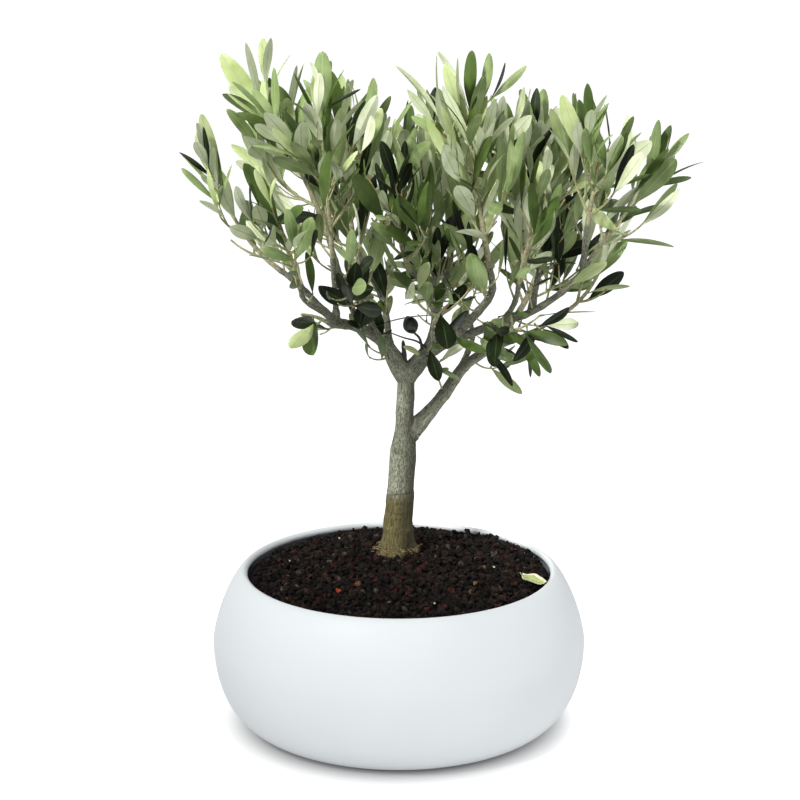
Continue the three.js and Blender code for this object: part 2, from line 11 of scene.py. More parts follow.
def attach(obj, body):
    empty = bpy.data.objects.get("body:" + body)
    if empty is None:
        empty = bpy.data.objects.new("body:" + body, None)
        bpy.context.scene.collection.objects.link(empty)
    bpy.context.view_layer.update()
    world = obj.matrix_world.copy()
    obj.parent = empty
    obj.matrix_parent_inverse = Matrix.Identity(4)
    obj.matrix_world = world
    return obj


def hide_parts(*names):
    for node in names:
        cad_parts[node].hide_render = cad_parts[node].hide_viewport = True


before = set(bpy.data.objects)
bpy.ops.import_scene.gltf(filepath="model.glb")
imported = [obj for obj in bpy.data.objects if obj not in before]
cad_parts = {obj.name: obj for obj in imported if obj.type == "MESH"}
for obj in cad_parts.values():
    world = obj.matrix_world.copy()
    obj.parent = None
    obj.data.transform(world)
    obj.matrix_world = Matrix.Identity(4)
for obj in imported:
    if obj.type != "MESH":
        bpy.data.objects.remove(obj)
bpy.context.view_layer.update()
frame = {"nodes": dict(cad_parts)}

# The view: a white floor under soft studio light, seen from 1.4 m away and 14 degrees above the level.
# To the camera the floor and the sky glow white, so that no horizon shows behind the plant. The floor's
# glow fades out under the bowl, where its soft shade lies.
camera = bpy.data.objects.new("camera", bpy.data.cameras.new("camera"))
camera.data.sensor_width = 36
camera.data.lens = 102.6
camera.location = (0.0007, -1.4, 0.562)
camera.rotation_euler = (math.radians(90 - 14), 0, 0)
bpy.context.scene.collection.objects.link(camera)
bpy.context.scene.camera = camera
bpy.context.scene.view_settings.view_transform = "Standard"


def soft_light(name, place, aim, size, power, spread=180, tint=(1, 1, 1)):
    """A square soft box that faces a height over the bowl. A grid on it narrows its beam."""
    lamp = bpy.data.lights.new(name, "AREA")
    lamp.size = size
    lamp.energy = power
    lamp.color = tint
    lamp.spread = math.radians(spread)
    box = bpy.data.objects.new(name, lamp)
    box.location = place
    box.rotation_euler = (Vector(place) - Vector((0, 0, aim))).to_track_quat("Z", "Y").to_euler()
    bpy.context.scene.collection.objects.link(box)
    return box


soft_light("key_light", (-1.15, -1.45, 2.0), 0.42, 0.45, 0.95, 14, (1, 0.99, 0.95))
soft_light("bowl_light", (0.9, -2.1, 0.36), 0.03, 0.7, 0.45, 20).visible_glossy = False
soft_light("left_light", (-2.3, -0.5, 0.9), 0.32, 0.5, 0.36, 13).visible_glossy = False
soft_light("top_light", (0.6, 0.6, 2.2), 0.3, 0.8, 14)


def feed(tree, node, inputs):
    """Gives each named input of a node a value, or a link from another node's output."""
    for name, value in inputs.items():
        if isinstance(value, bpy.types.NodeSocket):
            tree.links.new(value, node.inputs[name])
        else:
            node.inputs[name].default_value = value


def made_by(tree, kind, output, inputs=None, **settings):
    """One output of a new shader node, with what its inputs are fed."""
    node = tree.nodes.new(f"ShaderNode{kind}")
    for name, value in settings.items():
        setattr(node, name, value)
    feed(tree, node, inputs or {})
    return node.outputs[output]


world = bpy.data.worlds.new("studio")
world.use_nodes = True
tree = world.node_tree
seen = made_by(tree, "LightPath", "Is Camera Ray")
sky = made_by(tree, "MapRange", "Result", {"Value": seen, "To Min": 0.54, "To Max": 1.1})
feed(tree, tree.nodes["Background"], {"Color": (0.98, 0.99, 1, 1), "Strength": sky})
bpy.context.scene.world = world

bpy.ops.mesh.primitive_plane_add(size=60)
floor = bpy.context.object
floor.name = "floor"
floor_paint = bpy.data.materials.new("floor_paint")
floor_paint.use_nodes = True
tree = floor_paint.node_tree
place = made_by(tree, "TexCoord", "Object")
distance = made_by(tree, "VectorMath", "Value", {0: place}, operation="LENGTH")
shade = {"Value": distance, "From Min": 0.088, "From Max": 0.122, "To Max": 0.76}
away = made_by(tree, "MapRange", "Result", shade, interpolation_type="SMOOTHSTEP")
seen = made_by(tree, "LightPath", "Is Camera Ray")
lit = made_by(tree, "MapRange", "Result", {"Value": seen, "To Min": 0.52})
feed(tree, tree.nodes["Principled BSDF"], {
    "Base Color": (0.5, 0.5, 0.5, 1),
    "Roughness": 0.8,
    "Emission Color": (1, 1, 1, 1),
    "Emission Strength": made_by(tree, "Math", "Value", {0: lit, 1: away}, operation="MULTIPLY"),
})
floor.data.materials.append(floor_paint)

# The bowl: thrown stoneware with a thin rounded lip under a thick white glaze, which breaks to the bare
# clay on the flat ring that it stands on. The same wall curve as the solid's, turned in fine steps.
MM = 0.001
BOWL = {
    "radius": 120, "height": 102, "belly": 56, "foot": 84, "mouth": 97.5, "lip": 2.4, "wall": 6, "floor": 9,
    "lower_power": 2.15, "upper_power": 1.4,
}
BOWL_SIDES = 144
WALL_STEPS = 26
LIP_STEPS = 10


def linear(color):
    """A hex colour as the shader wants it."""
    parts = [((color >> shift) & 255) / 255 for shift in (16, 8, 0)]
    return (*[p / 12.92 if p <= 0.04045 else ((p + 0.055) / 1.055) ** 2.4 for p in parts], 1)


def make_piece(name, points, faces, materials, looks=None, sharp=None):
    """A mesh object from points in millimetres, smooth but for edges sharper than the given angle."""
    mesh = bpy.data.meshes.new(name)
    mesh.from_pydata((np.asarray(points, float) * MM).tolist(), [], faces)
    for material in materials:
        mesh.materials.append(material)
    if looks is not None:
        mesh.polygons.foreach_set("material_index", np.asarray(looks, np.int32))
    mesh.shade_smooth()
    if sharp is not None:
        mesh.set_sharp_from_angle(angle=math.radians(sharp))
    mesh.update()
    piece = bpy.data.objects.new(name, mesh)
    bpy.context.scene.collection.objects.link(piece)
    return piece


def finish_of(name, color, roughness):
    """A material with its node tree and its shader."""
    material = bpy.data.materials.new(name)
    material.use_nodes = True
    shader = material.node_tree.nodes["Principled BSDF"]
    feed(material.node_tree, shader, {"Base Color": linear(color), "Roughness": roughness})
    return material, material.node_tree, shader


def two_colors(tree, share, low, high):
    """A ramp between two hex colours, each told with the share at which it starts or ends."""
    color = made_by(tree, "ValToRGB", "Color", {"Fac": share})
    for stop, (position, hue) in zip(color.node.color_ramp.elements, (low, high)):
        stop.position = position
        stop.color = linear(hue)
    return color


def bumped(tree, height, strength, distance):
    return made_by(tree, "Bump", "Normal", {"Height": height, "Strength": strength, "Distance": distance})


def wall_curve(foot, radius, mouth, low, belly, high):
    """The curve of one wall, from the foot's edge out to the belly and in again to the mouth."""
    turns = [i / WALL_STEPS * math.pi / 2 for i in range(WALL_STEPS + 1)]
    curve = []
    for turn in turns:
        power = 2 / BOWL["lower_power"]
        out = foot + (radius - foot) * math.sin(turn) ** power
        curve.append((out, low + (belly - low) * (1 - max(0, math.cos(turn)) ** power)))
    for turn in turns[1:]:
        power = 2 / BOWL["upper_power"]
        out = mouth + (radius - mouth) * max(0, math.cos(turn)) ** power
        curve.append((out, belly + (high - belly) * math.sin(turn) ** power))
    return curve


def ring_faces(rings, sides):
    """The four-sided faces between closed rings of points."""
    faces = []
    for first in range(0, (rings - 1) * sides, sides):
        for side in range(sides):
            beside = (side + 1) % sides
            faces.append((first + side, first + beside, first + sides + beside, first + sides + side))
    return faces


def turned(profile, sides):
    """The points and faces of a profile of radius and height that is turned round the +Z axis."""
    angles = np.linspace(0, 2 * math.pi, sides, endpoint=False)
    points = [(r * math.cos(a), r * math.sin(a), z) for r, z in profile for a in angles]
    return points, ring_faces(len(profile), sides)


lip, wall = BOWL["lip"], BOWL["wall"]
rim = BOWL["mouth"] + lip
inner_foot, inner_radius, inner_top = BOWL["foot"] - wall / 2, BOWL["radius"] - wall, BOWL["height"] - 2 * lip
outer_wall = wall_curve(BOWL["foot"], BOWL["radius"], rim, 0, BOWL["belly"], BOWL["height"])
inner_wall = wall_curve(inner_foot, inner_radius, rim, BOWL["floor"], BOWL["belly"], inner_top)
lip_turns = [math.pi / 2 + i / LIP_STEPS * math.pi for i in range(1, LIP_STEPS)]
lip_curve = [(rim + lip * math.cos(a), BOWL["height"] - lip + lip * math.sin(a)) for a in lip_turns]
foot_ring = [(BOWL["foot"] - 9, 0.9), (BOWL["foot"] - 8, 0.1), (BOWL["foot"] - 2, 0)]
bowl_profile = foot_ring + outer_wall + lip_curve + inner_wall[::-1]
bowl_points, bowl_faces = turned(bowl_profile, BOWL_SIDES)
bowl_faces.append(tuple(reversed(range(BOWL_SIDES))))
bowl_faces.append(tuple(range(len(bowl_points) - BOWL_SIDES, len(bowl_points))))

glaze, tree, shader = finish_of("white_glaze", 0xDADEE0, 0.5)
place = made_by(tree, "TexCoord", "Object")
pooling = made_by(tree, "TexNoise", "Fac", {"Vector": place, "Scale": 9, "Detail": 3})
orange_peel = made_by(tree, "TexNoise", "Fac", {"Vector": place, "Scale": 160, "Detail": 2})
feed(tree, shader, {
    "Base Color": two_colors(tree, pooling, (0.3, 0xDADFE2), (0.7, 0xDEE2E5)),
    "Roughness": made_by(tree, "MapRange", "Result", {"Value": pooling, "To Min": 0.5, "To Max": 0.62}),
    "Coat Weight": 0.08,
    "Coat Roughness": 0.4,
    "Normal": bumped(tree, orange_peel, 0.12, 0.0004),
})

clay, tree, shader = finish_of("bare_clay", 0xCFC6B6, 0.85)
place = made_by(tree, "TexCoord", "Object")
grog = made_by(tree, "TexNoise", "Fac", {"Vector": place, "Scale": 700})
feed(tree, shader, {"Base Color": two_colors(tree, grog, (0, 0xB9AD9A), (1, 0xDAD2C3))})

bowl_looks = np.zeros(len(bowl_faces), int)
bowl_looks[: 2 * BOWL_SIDES] = 1
bowl_looks[-2] = 1
bowl = make_piece("glazed_bowl", bowl_points, bowl_faces, [glaze, clay], bowl_looks, sharp=50)
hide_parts("bowl")
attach(bowl, "root")

# The gravel: crushed lava of 3 to 6 mm, nearly black with some brown and red grains, poured in and left
# slightly mounded round the trunk. A dark bed closes the gaps under the two layers of loose grains.
GRAVEL = {
    "top": 107, "flat": 37, "edge": 98.4, "play": 0.45, "bed": 3.2, "bank": 2.6, "bank_turn": 0.95,
    "bank_from": 62, "bank_to": 94,
}
GRAIN = {
    "spacing": 4.3, "jitter": 1.3, "low": 1.6, "high": 3.3, "shapes": 16, "corners": 14, "missing": 0.2,
    "large_share": 0.12, "larger": 0.25, "sunk": 2.6, "raised": (0.4, 2.8), "rim_gap": 1.2,
}
TRUNK_FOOT = (-1.2, 20)
TRUNK_ROOM = 9


def smooth_step(low, high, value):
    share = min(1, max(0, (value - low) / (high - low)))
    return share * share * (3 - 2 * share)


def gravel_height(r):
    """The mound's height at a distance from the middle."""
    return GRAVEL["top"] + (GRAVEL["edge"] - GRAVEL["top"]) * smooth_step(GRAVEL["flat"], BOWL["mouth"], r)


def lump(chance, corners):
    """An angular stone: the hull of random points on a ball that is flattened a little."""
    shape = bmesh.new()
    for _ in range(corners):
        way = chance.normal(size=3)
        way = way / np.linalg.norm(way) * chance.uniform(0.82, 1.08)
        shape.verts.new(way * (1, 0.86, 0.72))
    hull = bmesh.ops.convex_hull(shape, input=shape.verts)
    bmesh.ops.delete(shape, geom=[v for v in hull["geom_interior"] if v.is_valid], context="VERTS")
    bmesh.ops.triangulate(shape, faces=shape.faces)
    shape.verts.index_update()
    points = np.array([v.co for v in shape.verts])
    faces = [[v.index for v in face.verts] for face in shape.faces]
    shape.free()
    return points, faces


def any_turn(chance):
    """A random rotation as three rows."""
    spin, _ = np.linalg.qr(chance.normal(size=(3, 3)))
    return spin * np.sign(np.linalg.det(spin))


def joined(parts):
    """Several lots of points and faces as one."""
    points, faces = [], []
    count = 0
    for some_points, some_faces in parts:
        points.append(some_points)
        faces += [tuple(count + i for i in face) for face in some_faces]
        count += len(some_points)
    return np.concatenate(points), faces


def blended(tree, share, first, second):
    return made_by(tree, "Mix", "Result", {"Factor": share, "A": first, "B": second}, data_type="RGBA")


def mottling(name, detail, rough, low, high, pores=None):
    """A node group that blends two colours by a noise. Its height is that noise, or one of fine pores."""
    group = bpy.data.node_groups.new(name, "ShaderNodeTree")
    for socket, kind in {"Vector": "Vector", "Light": "Color", "Dark": "Color", "Scale": "Float"}.items():
        group.interface.new_socket(socket, in_out="INPUT", socket_type=f"NodeSocket{kind}")
    for socket, kind in {"Color": "Color", "Height": "Float"}.items():
        group.interface.new_socket(socket, in_out="OUTPUT", socket_type=f"NodeSocket{kind}")
    given = group.nodes.new("NodeGroupInput").outputs
    flecks = {"Vector": given["Vector"], "Scale": given["Scale"], "Detail": detail, "Roughness": rough}
    height = made_by(group, "TexNoise", "Fac", flecks)
    share = made_by(group, "MapRange", "Result", {"Value": height, "From Min": low, "From Max": high})
    color = blended(group, share, given["Dark"], given["Light"])
    if pores:
        height = made_by(group, "TexNoise", "Fac", {"Vector": given["Vector"], "Scale": pores})
    feed(group, group.nodes.new("NodeGroupOutput"), {"Color": color, "Height": height})
    return group


def mottled(tree, group, place, light, dark, scale):
    """The colour that one of the mottling groups gives between two hex colours."""
    inputs = {"Vector": place, "Light": linear(light), "Dark": linear(dark), "Scale": scale}
    return made_by(tree, "Group", "Color", inputs, node_tree=group)


def skin_finish(name, group, light, dark, scale, roughness, bump=None, specular=0.5, base=None):
    """A material that takes its colour and its relief from one of the mottling groups."""
    material, tree, shader = finish_of(name, light if base is None else base, roughness)
    color = mottled(tree, group, made_by(tree, "TexCoord", "Object"), light, dark, scale)
    feed(tree, shader, {"Base Color": color, "Specular IOR Level": specular})
    if bump:
        feed(tree, shader, {"Normal": bumped(tree, color.node.outputs["Height"], *bump)})
    return material


# The grit on a stone, shared by the gravel's finishes
grit = mottling("grit", 4, 0.7, 0.36, 0.66)


def stone_finish(name, light, dark):
    return skin_finish(name, grit, light, dark, 520, 0.88, (0.9, 0.0009), 0.25)


STONES = {
    "black_lava": (0x1C1512, 0x030202),
    "brown_lava": (0x33261F, 0x080403),
    "red_lava": (0x4A231B, 0x120604),
    "grey_lava": (0x5E544E, 0x171311),
    "ochre_grain": (0x8A6A45, 0x3A2917),
    "ember_grain": (0xC25A32, 0x8A3418),
    "chalk_grain": (0xE6E2DA, 0xB7B0A4),
}
stone_finishes = [stone_finish(name, *colors) for name, colors in STONES.items()]
stone_shares = np.array([0.64, 0.26, 0.055, 0.04, 0.005, 0, 0])

bed_radii = np.linspace(BOWL["mouth"] - GRAVEL["play"], 0.01, 40)
bed_profile = [(BOWL["mouth"] - 3, 90), *[(r, gravel_height(r) - GRAVEL["bed"]) for r in bed_radii]]
bed_points, bed_faces = turned(bed_profile, 96)
bed = make_piece("gravel_bed", bed_points, bed_faces, [stone_finishes[0]])
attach(bed, "root")

chance = np.random.default_rng(7)
stones = [lump(chance, GRAIN["corners"]) for _ in range(GRAIN["shapes"])]
grain_parts, grain_looks = [], []
row_gap = GRAIN["spacing"] * math.sqrt(0.75)
reach = BOWL["mouth"] - GRAIN["rim_gap"]
jitter = GRAIN["jitter"]
for layer in range(2):
    for row in range(-28, 29):
        for column in range(-27, 28):
            x = (column + row % 2 / 2 + layer / 3) * GRAIN["spacing"] + chance.uniform(-jitter, jitter)
            y = (row + layer / 2) * row_gap + chance.uniform(-jitter, jitter)
            far = math.hypot(x, y)
            size = chance.uniform(GRAIN["low"], GRAIN["high"])
            size *= 1 + GRAIN["larger"] * (chance.random() < GRAIN["large_share"])
            z = gravel_height(far) - GRAIN["sunk"] + layer * chance.uniform(*GRAIN["raised"])
            facing = max(0, math.cos(math.atan2(y, x) - GRAVEL["bank_turn"]))
            z += GRAVEL["bank"] * (smooth_step(GRAVEL["bank_from"], GRAVEL["bank_to"], far) * facing)
            reddish = max(0, noise.noise(Vector((x * 0.03, y * 0.05, 3)))) * 4
            shares = stone_shares * (1, 1 + reddish, 1 + 2 * reddish, 1, 1, 1, 1)
            look = chance.choice(len(stone_finishes), p=shares / shares.sum())
            points, faces = stones[chance.integers(len(stones))]
            spin = any_turn(chance)
            if far + size > reach or math.dist((x, y), TRUNK_FOOT) < TRUNK_ROOM:
                continue
            if layer and chance.random() < GRAIN["missing"]:
                continue
            grain_parts.append((points @ spin * size + (x, y, z), faces))
            grain_looks += [look] * len(faces)
# Single bright grains that the photo shows: the number of each one's finish, its place and its size
RARE_GRAINS = [
    (5, -38, -52.6, 2.1), (6, -40, 61, 1), (6, 22, -71, 0.8),
    (6, 61, -8, 0.9), (6, -71, 12, 0.8), (4, 48, -40, 2),
]
for look, x, y, size in RARE_GRAINS:
    points, faces = stones[look]
    grain_parts.append((points * size + (x, y, gravel_height(math.hypot(x, y)) + 0.8), faces))
    grain_looks += [look] * len(faces)
grains = make_piece("gravel_grains", *joined(grain_parts), stone_finishes, grain_looks, sharp=38)
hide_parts("gravel")
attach(grains, "root")

# The fallen leaf: the broken end of an old leaf, yellowed and curled up at its edges, which lies on the
# gravel and leans on the bowl's rim.
FALLEN = {
    "from": (78, -17.5, 101.9), "to": (89, -34.5, 101.6), "half": 5.4, "thick": 0.4, "rows": 15, "columns": 9,
}
fallen_from, fallen_to = np.array(FALLEN["from"]), np.array(FALLEN["to"])
fallen_run = fallen_to - fallen_from
fallen_way = fallen_run / np.linalg.norm(fallen_run)
fallen_wide = np.cross(fallen_way, (0, 0, 1))
rows, columns = FALLEN["rows"], FALLEN["columns"]
chance = np.random.default_rng(2)
upper_skin, lower_skin = [], []
for row in range(rows):
    t = row / (rows - 1)
    narrowing = 1 - 0.12 * smooth_step(0.7, 1, t)
    half_here = FALLEN["half"] * (0.22 + 0.78 * smooth_step(0, 0.5, t)) * narrowing
    for column in range(columns):
        c = 2 * column / (columns - 1) - 1
        torn = chance.uniform(-0.9, 0.9) * (row == rows - 1)
        rise = 1.9 * c * c + 0.5 * math.sin(7 * t + 2 * c) + 0.3 * math.sin(13 * t) * c
        spot = fallen_from + fallen_run * t + fallen_way * torn + fallen_wide * half_here * c
        upper_skin.append(spot + (0, 0, rise + FALLEN["thick"]))
        lower_skin.append(spot + (0, 0, rise))
below = rows * columns
fallen_faces, fallen_looks = [], []
for row in range(rows - 1):
    for column in range(columns - 1):
        corner = row * columns + column
        square = (corner, corner + 1, corner + columns + 1, corner + columns)
        fallen_faces += [square, tuple(below + i for i in reversed(square))]
        fallen_looks += [int(column in (0, columns - 2))] * 2
border = list(range(columns))
border += [row * columns + columns - 1 for row in range(1, rows)]
border += [below - 1 - column for column in range(1, columns)]
border += [row * columns for row in range(rows - 2, 0, -1)]
for i, here in enumerate(border):
    beyond = border[(i + 1) % len(border)]
    fallen_faces.append((beyond, here, below + here, below + beyond))
    fallen_looks.append(1)
fallen_finishes = [
    stone_finish("yellowed_leaf", 0xC6CE92, 0x96A05C),
    stone_finish("bleached_edge", 0xF0F2DE, 0xC9CFA4),
]
fallen_points = upper_skin + lower_skin
fallen = make_piece("fallen_leaf", fallen_points, fallen_faces, fallen_finishes, fallen_looks, sharp=60)
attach(fallen, "root")

# The trunk and its limbs: one grown skeleton of a tapering trunk and boughs, each on a smooth line from
# its parent. Every leaf and shoot later keeps clear of these lines.
TRUNK = {
    "foot": (*TRUNK_FOOT, 105),
    "rise": [(0.7, 20, 141), (2.5, 20, 168), (3.6, 20, 192), (4.6, 20, 226)],
    "low": 9.4, "taper": 1.6, "high": 5.5, "step_from": 0.56, "step_to": 0.76,
    "flare": 4.6, "flare_share": 0.07, "rings": 14, "crown": 0.6,
}


def grows(on, start, thick, *to):
    return {"on": on, "from": start, "thick": thick, "to": to}


LIMBS = {
    "left_bough": grows("trunk", 0.97, (5, 2.6), (-9, 18, 245), (-23, 12, 256), (-41, 5, 263)),
    "middle_bough": grows("trunk", 0.97, (4.9, 2.8), (17, 20, 239), (22, 18, 251), (24, 18, 266)),
    "low_right_bough": grows(
        "trunk", 0.63, (4.8, 2.2),
        (27, 28, 207), (42, 40, 225), (60, 54, 235), (76, 70, 251),
    ),
    "right_bough": grows(
        "middle_bough", 0.42, (3.3, 1.6),
        (40, 8, 252), (63, 0, 263), (83, -5, 271), (106, -8, 288), (119, -10, 306),
    ),
    "left_outer_limb": grows("left_bough", 1, (2.1, 1.7), (-62, 2, 286), (-76, 0, 298)),
    "left_tall_limb": grows("left_bough", 0.97, (2, 1.6), (-40, -6, 287), (-41, -14, 308)),
    "left_front_limb": grows("left_bough", 0.92, (1.9, 1.5), (-57, -14, 279), (-61, -20, 289)),
    "left_low_limb": grows("left_bough", 0.8, (1.7, 1.3), (-40, -6, 262), (-46, -14, 267)),
    "left_upper_limb": grows("left_bough", 0.72, (2.1, 1.6), (-36, 12, 288), (-45, 10, 318)),
    "left_back_limb": grows("left_bough", 0.55, (2.1, 1.6), (-23, 26, 284), (-29, 34, 312)),
    "left_rear_limb": grows("left_bough", 0.3, (2.4, 1.7), (-10, 38, 268), (-22, 60, 288)),
    "inner_left_limb": grows("left_bough", 0.42, (1.9, 1.4), (-18, 2, 266), (-22, -8, 276)),
    "centre_front_limb": grows("middle_bough", 0.98, (2.1, 1.6), (16, 6, 284), (8, -8, 298)),
    "centre_back_limb": grows("middle_bough", 0.99, (2.5, 1.8), (23, 34, 284), (19, 46, 300)),
    "centre_low_limb": grows("middle_bough", 0.8, (1.9, 1.3), (23, 4, 259), (22, -8, 263)),
    "rear_limb": grows("middle_bough", 0.72, (2.5, 1.7), (26, 42, 265), (32, 68, 282)),
    "front_limb": grows("right_bough", 0.14, (3, 2), (47, -12, 270), (57, -27, 288), (55, -34, 306)),
    "right_low_limb": grows("right_bough", 0.36, (1.8, 1.3), (62, -14, 258), (66, -24, 262)),
    "right_inner_limb": grows("right_bough", 0.46, (1.9, 1.5), (72, -16, 280), (74, -24, 294)),
    "right_back_limb": grows("right_bough", 0.6, (2.1, 1.6), (87, 8, 288), (90, 14, 302)),
    "right_tall_limb": grows("right_bough", 0.93, (1.8, 1.5), (114, -21, 318), (115, -26, 330)),
    "right_outer_limb": grows("low_right_bough", 0.7, (2, 1.4), (86, 44, 247), (108, 36, 263)),
    "rear_low_limb": grows("low_right_bough", 0.45, (2.1, 1.5), (48, 62, 238), (46, 80, 250)),
    "fork_stub": grows("trunk", 0.97, (1.9, 1.1), (3.4, 17.5, 238), (2.6, 16, 248)),
}
OLIVE = {
    "on": "middle_bough", "from": 0.36, "stalk": (13.5, 13.5, 249), "bottom": (9.6, 11, 253.6),
    "top": (5, 9, 265.2), "radius": 4.9, "fullness": 0.6, "stalk_radius": 0.7, "rings": 6,
}

UP = np.array((0.0, 0, 1))


def unit(vector):
    return vector / np.linalg.norm(vector)


def curve_points(through, count):
    """Points on the smooth curve through a limb's points."""
    through = np.asarray(through, float)
    first = 2 * through[0] - through[1]
    last = 2 * through[-1] - through[-2]
    ends = np.vstack([first, through, last])
    places = []
    for i in range(count + 1):
        place = (len(through) - 1) * i / count
        span = min(int(place), len(through) - 2)
        t = place - span
        before, here, after, beyond = ends[span : span + 4]
        leaving = (after - before) / 2
        arriving = (beyond - here) / 2
        bend = 3 * (after - here) - 2 * leaving - arriving
        turn = 2 * (here - after) + leaving + arriving
        places.append(here + t * (leaving + t * (bend + t * turn)))
    return np.array(places)


def length_of(points):
    return np.linalg.norm(np.diff(points, axis=0), axis=1).sum()


def point_along(points, share):
    """Where a share of a run of points lies, by its length."""
    left = share * length_of(points)
    for start, end in zip(points[:-1], points[1:]):
        step = np.linalg.norm(end - start)
        if left <= step:
            return start + (end - start) * left / step
        left -= step
    return points[-1].copy()


def trunk_radius(share):
    shaft = TRUNK["low"] - TRUNK["taper"] * share
    drop = TRUNK["low"] - TRUNK["taper"] - TRUNK["high"]
    step = drop * smooth_step(TRUNK["step_from"], TRUNK["step_to"], share)
    return shaft - step + TRUNK["flare"] * math.exp(-share / TRUNK["flare_share"])


limbs = {}
lines = {}
trunk_through = [TRUNK["foot"], *TRUNK["rise"]]
trunk_radii = [trunk_radius(i / TRUNK["rings"]) for i in range(TRUNK["rings"] + 1)]
trunk_radii[-1] *= TRUNK["crown"]
limbs["trunk"] = (curve_points(trunk_through, TRUNK["rings"]), np.array(trunk_radii))
lines["trunk"] = trunk_through
for name, limb in LIMBS.items():
    start = point_along(limbs[limb["on"]][0], limb["from"])
    steps = 2 * len(limb["to"])
    lines[name] = [start, *limb["to"]]
    limbs[name] = (curve_points(lines[name], steps), np.linspace(*limb["thick"], steps + 1))
olive_bottom, olive_top = np.array(OLIVE["bottom"]), np.array(OLIVE["top"])
flesh_shares = np.arange(OLIVE["rings"] + 1) / OLIVE["rings"]
swell = np.maximum(0, np.sin(flesh_shares * math.pi)) ** OLIVE["fullness"]
olive_start = point_along(limbs[OLIVE["on"]][0], OLIVE["from"])
flesh = [olive_bottom + (olive_top - olive_bottom) * share for share in flesh_shares]
flesh_radii = OLIVE["stalk_radius"] + (OLIVE["radius"] - OLIVE["stalk_radius"]) * swell
olive_radii = [OLIVE["stalk_radius"]] * 2 + list(flesh_radii)
limbs["olive"] = (np.array([olive_start, OLIVE["stalk"], *flesh]), np.array(olive_radii))

# The bark: thin, grey and finely fissured on the shaft and boughs, smoother on the limbs, and browner
# below the ring where the stem once stood in a deeper pot. All the wood is fused into one skin, so that
# every fork has its fillet, and the fissures are pressed into that skin along each limb.
BARK = {
    "voxel": 0.47, "step": 1.2, "ring_height": 147, "ring_tilt": 0.17, "ring_width": 0.6, "collar": 122,
    "joint": 13, "joint_swell": 0.26, "joint_width": 1.8, "fork_swell": 0.3, "fork_reach": 1.6,
    "slimmer_foot": 2, "sunk": 3.5, "trunk_tip": (0.92, 0.75, 0.4),
}
# The height of each layer of the bark's relief, how fine it is along and round a limb, and its own shift
CRACKS = {"from": 0.78, "span": 0.22, "depth": 0.14, "noise": (0.26, 0.85, 70)}
SCALES = {"height": 0.13, "noise": (0.35, 1.1)}
PLATES = {"height": 0.14, "noise": (0.3, 0.7, 40)}
WAVES = {"height": 0.9, "noise": (0.09, 0.15, 9)}


def frames_along(points):
    """Two directions square to a run of points at each of them, carried along without twist."""
    last = len(points) - 1
    frames = []
    side = None
    for i in range(last + 1):
        ahead = unit(points[min(i + 1, last)] - points[max(i - 1, 0)])
        if side is None:
            side = np.array((1.0, 0, 0)) if abs(ahead[0]) < 0.9 else np.array((0, 1.0, 0))
        side = unit(side - ahead * side.dot(ahead))
        frames.append((ahead, side, np.cross(side, ahead)))
    return frames


def tube(points, radii, sides):
    """The points and faces of a round bar bent along points, closed at both ends."""
    angles = np.linspace(0, 2 * math.pi, sides, endpoint=False)
    rings = []
    for point, radius, (_, side, across) in zip(points, radii, frames_along(points)):
        spokes = np.outer(np.cos(angles), side) + np.outer(np.sin(angles), across)
        rings.append(point + radius * spokes)
    faces = [(a, d, c, b) for a, b, c, d in ring_faces(len(rings), sides)]
    faces.append(tuple(range(sides)))
    faces.append(tuple(reversed(range((len(rings) - 1) * sides, len(rings) * sides))))
    return np.concatenate(rings), faces


wood_names = [name for name in limbs if name not in ("olive", "fork_stub")]
wood_parts = []
for name in wood_names:
    steps = max(8, round(length_of(limbs[name][0]) / BARK["step"]))
    line = curve_points(lines[name], steps)
    shares = np.linspace(0, 1, steps + 1)
    if name == "trunk":
        radii = np.array([trunk_radius(share) for share in shares])
        radii -= BARK["slimmer_foot"] * np.exp(-shares / TRUNK["flare_share"])
        radii[-3:] *= BARK["trunk_tip"]
        line[0, 2] = GRAVEL["top"] - BARK["sunk"]
    else:
        low, high = LIMBS[name]["thick"]
        radii = low + (high - low) * shares
        reach_out = length_of(line) * shares
        collar = limbs[LIMBS[name]["on"]][1].mean() + 1
        beyond = np.maximum(0, reach_out - collar) / (BARK["fork_reach"] * low)
        radii *= 1 + BARK["fork_swell"] * np.exp(-(beyond**2)) * (reach_out > 0)
        joint = (reach_out % BARK["joint"] - BARK["joint"] / 2) / BARK["joint_width"]
        radii += BARK["joint_swell"] * np.exp(-(joint**2))
    wood_parts.append(tube(line, radii, 24 if name == "trunk" else 14))
wood = make_piece("bark", *joined(wood_parts), [])
remesh = wood.modifiers.new("fuse", "REMESH")
remesh.mode = "VOXEL"
remesh.voxel_size = BARK["voxel"] * MM
fillet = wood.modifiers.new("fillet", "SMOOTH")
fillet.factor = 0.5
fillet.iterations = 5
bpy.context.view_layer.objects.active = wood
bpy.ops.object.modifier_apply(modifier="fuse")
bpy.ops.object.modifier_apply(modifier="fillet")

count = len(wood.data.vertices)
skin = np.zeros(count * 3)
wood.data.vertices.foreach_get("co", skin)
skin = skin.reshape(-1, 3) / MM
normals = np.zeros(count * 3)
wood.data.vertex_normals.foreach_get("vector", normals)
normals = normals.reshape(-1, 3)

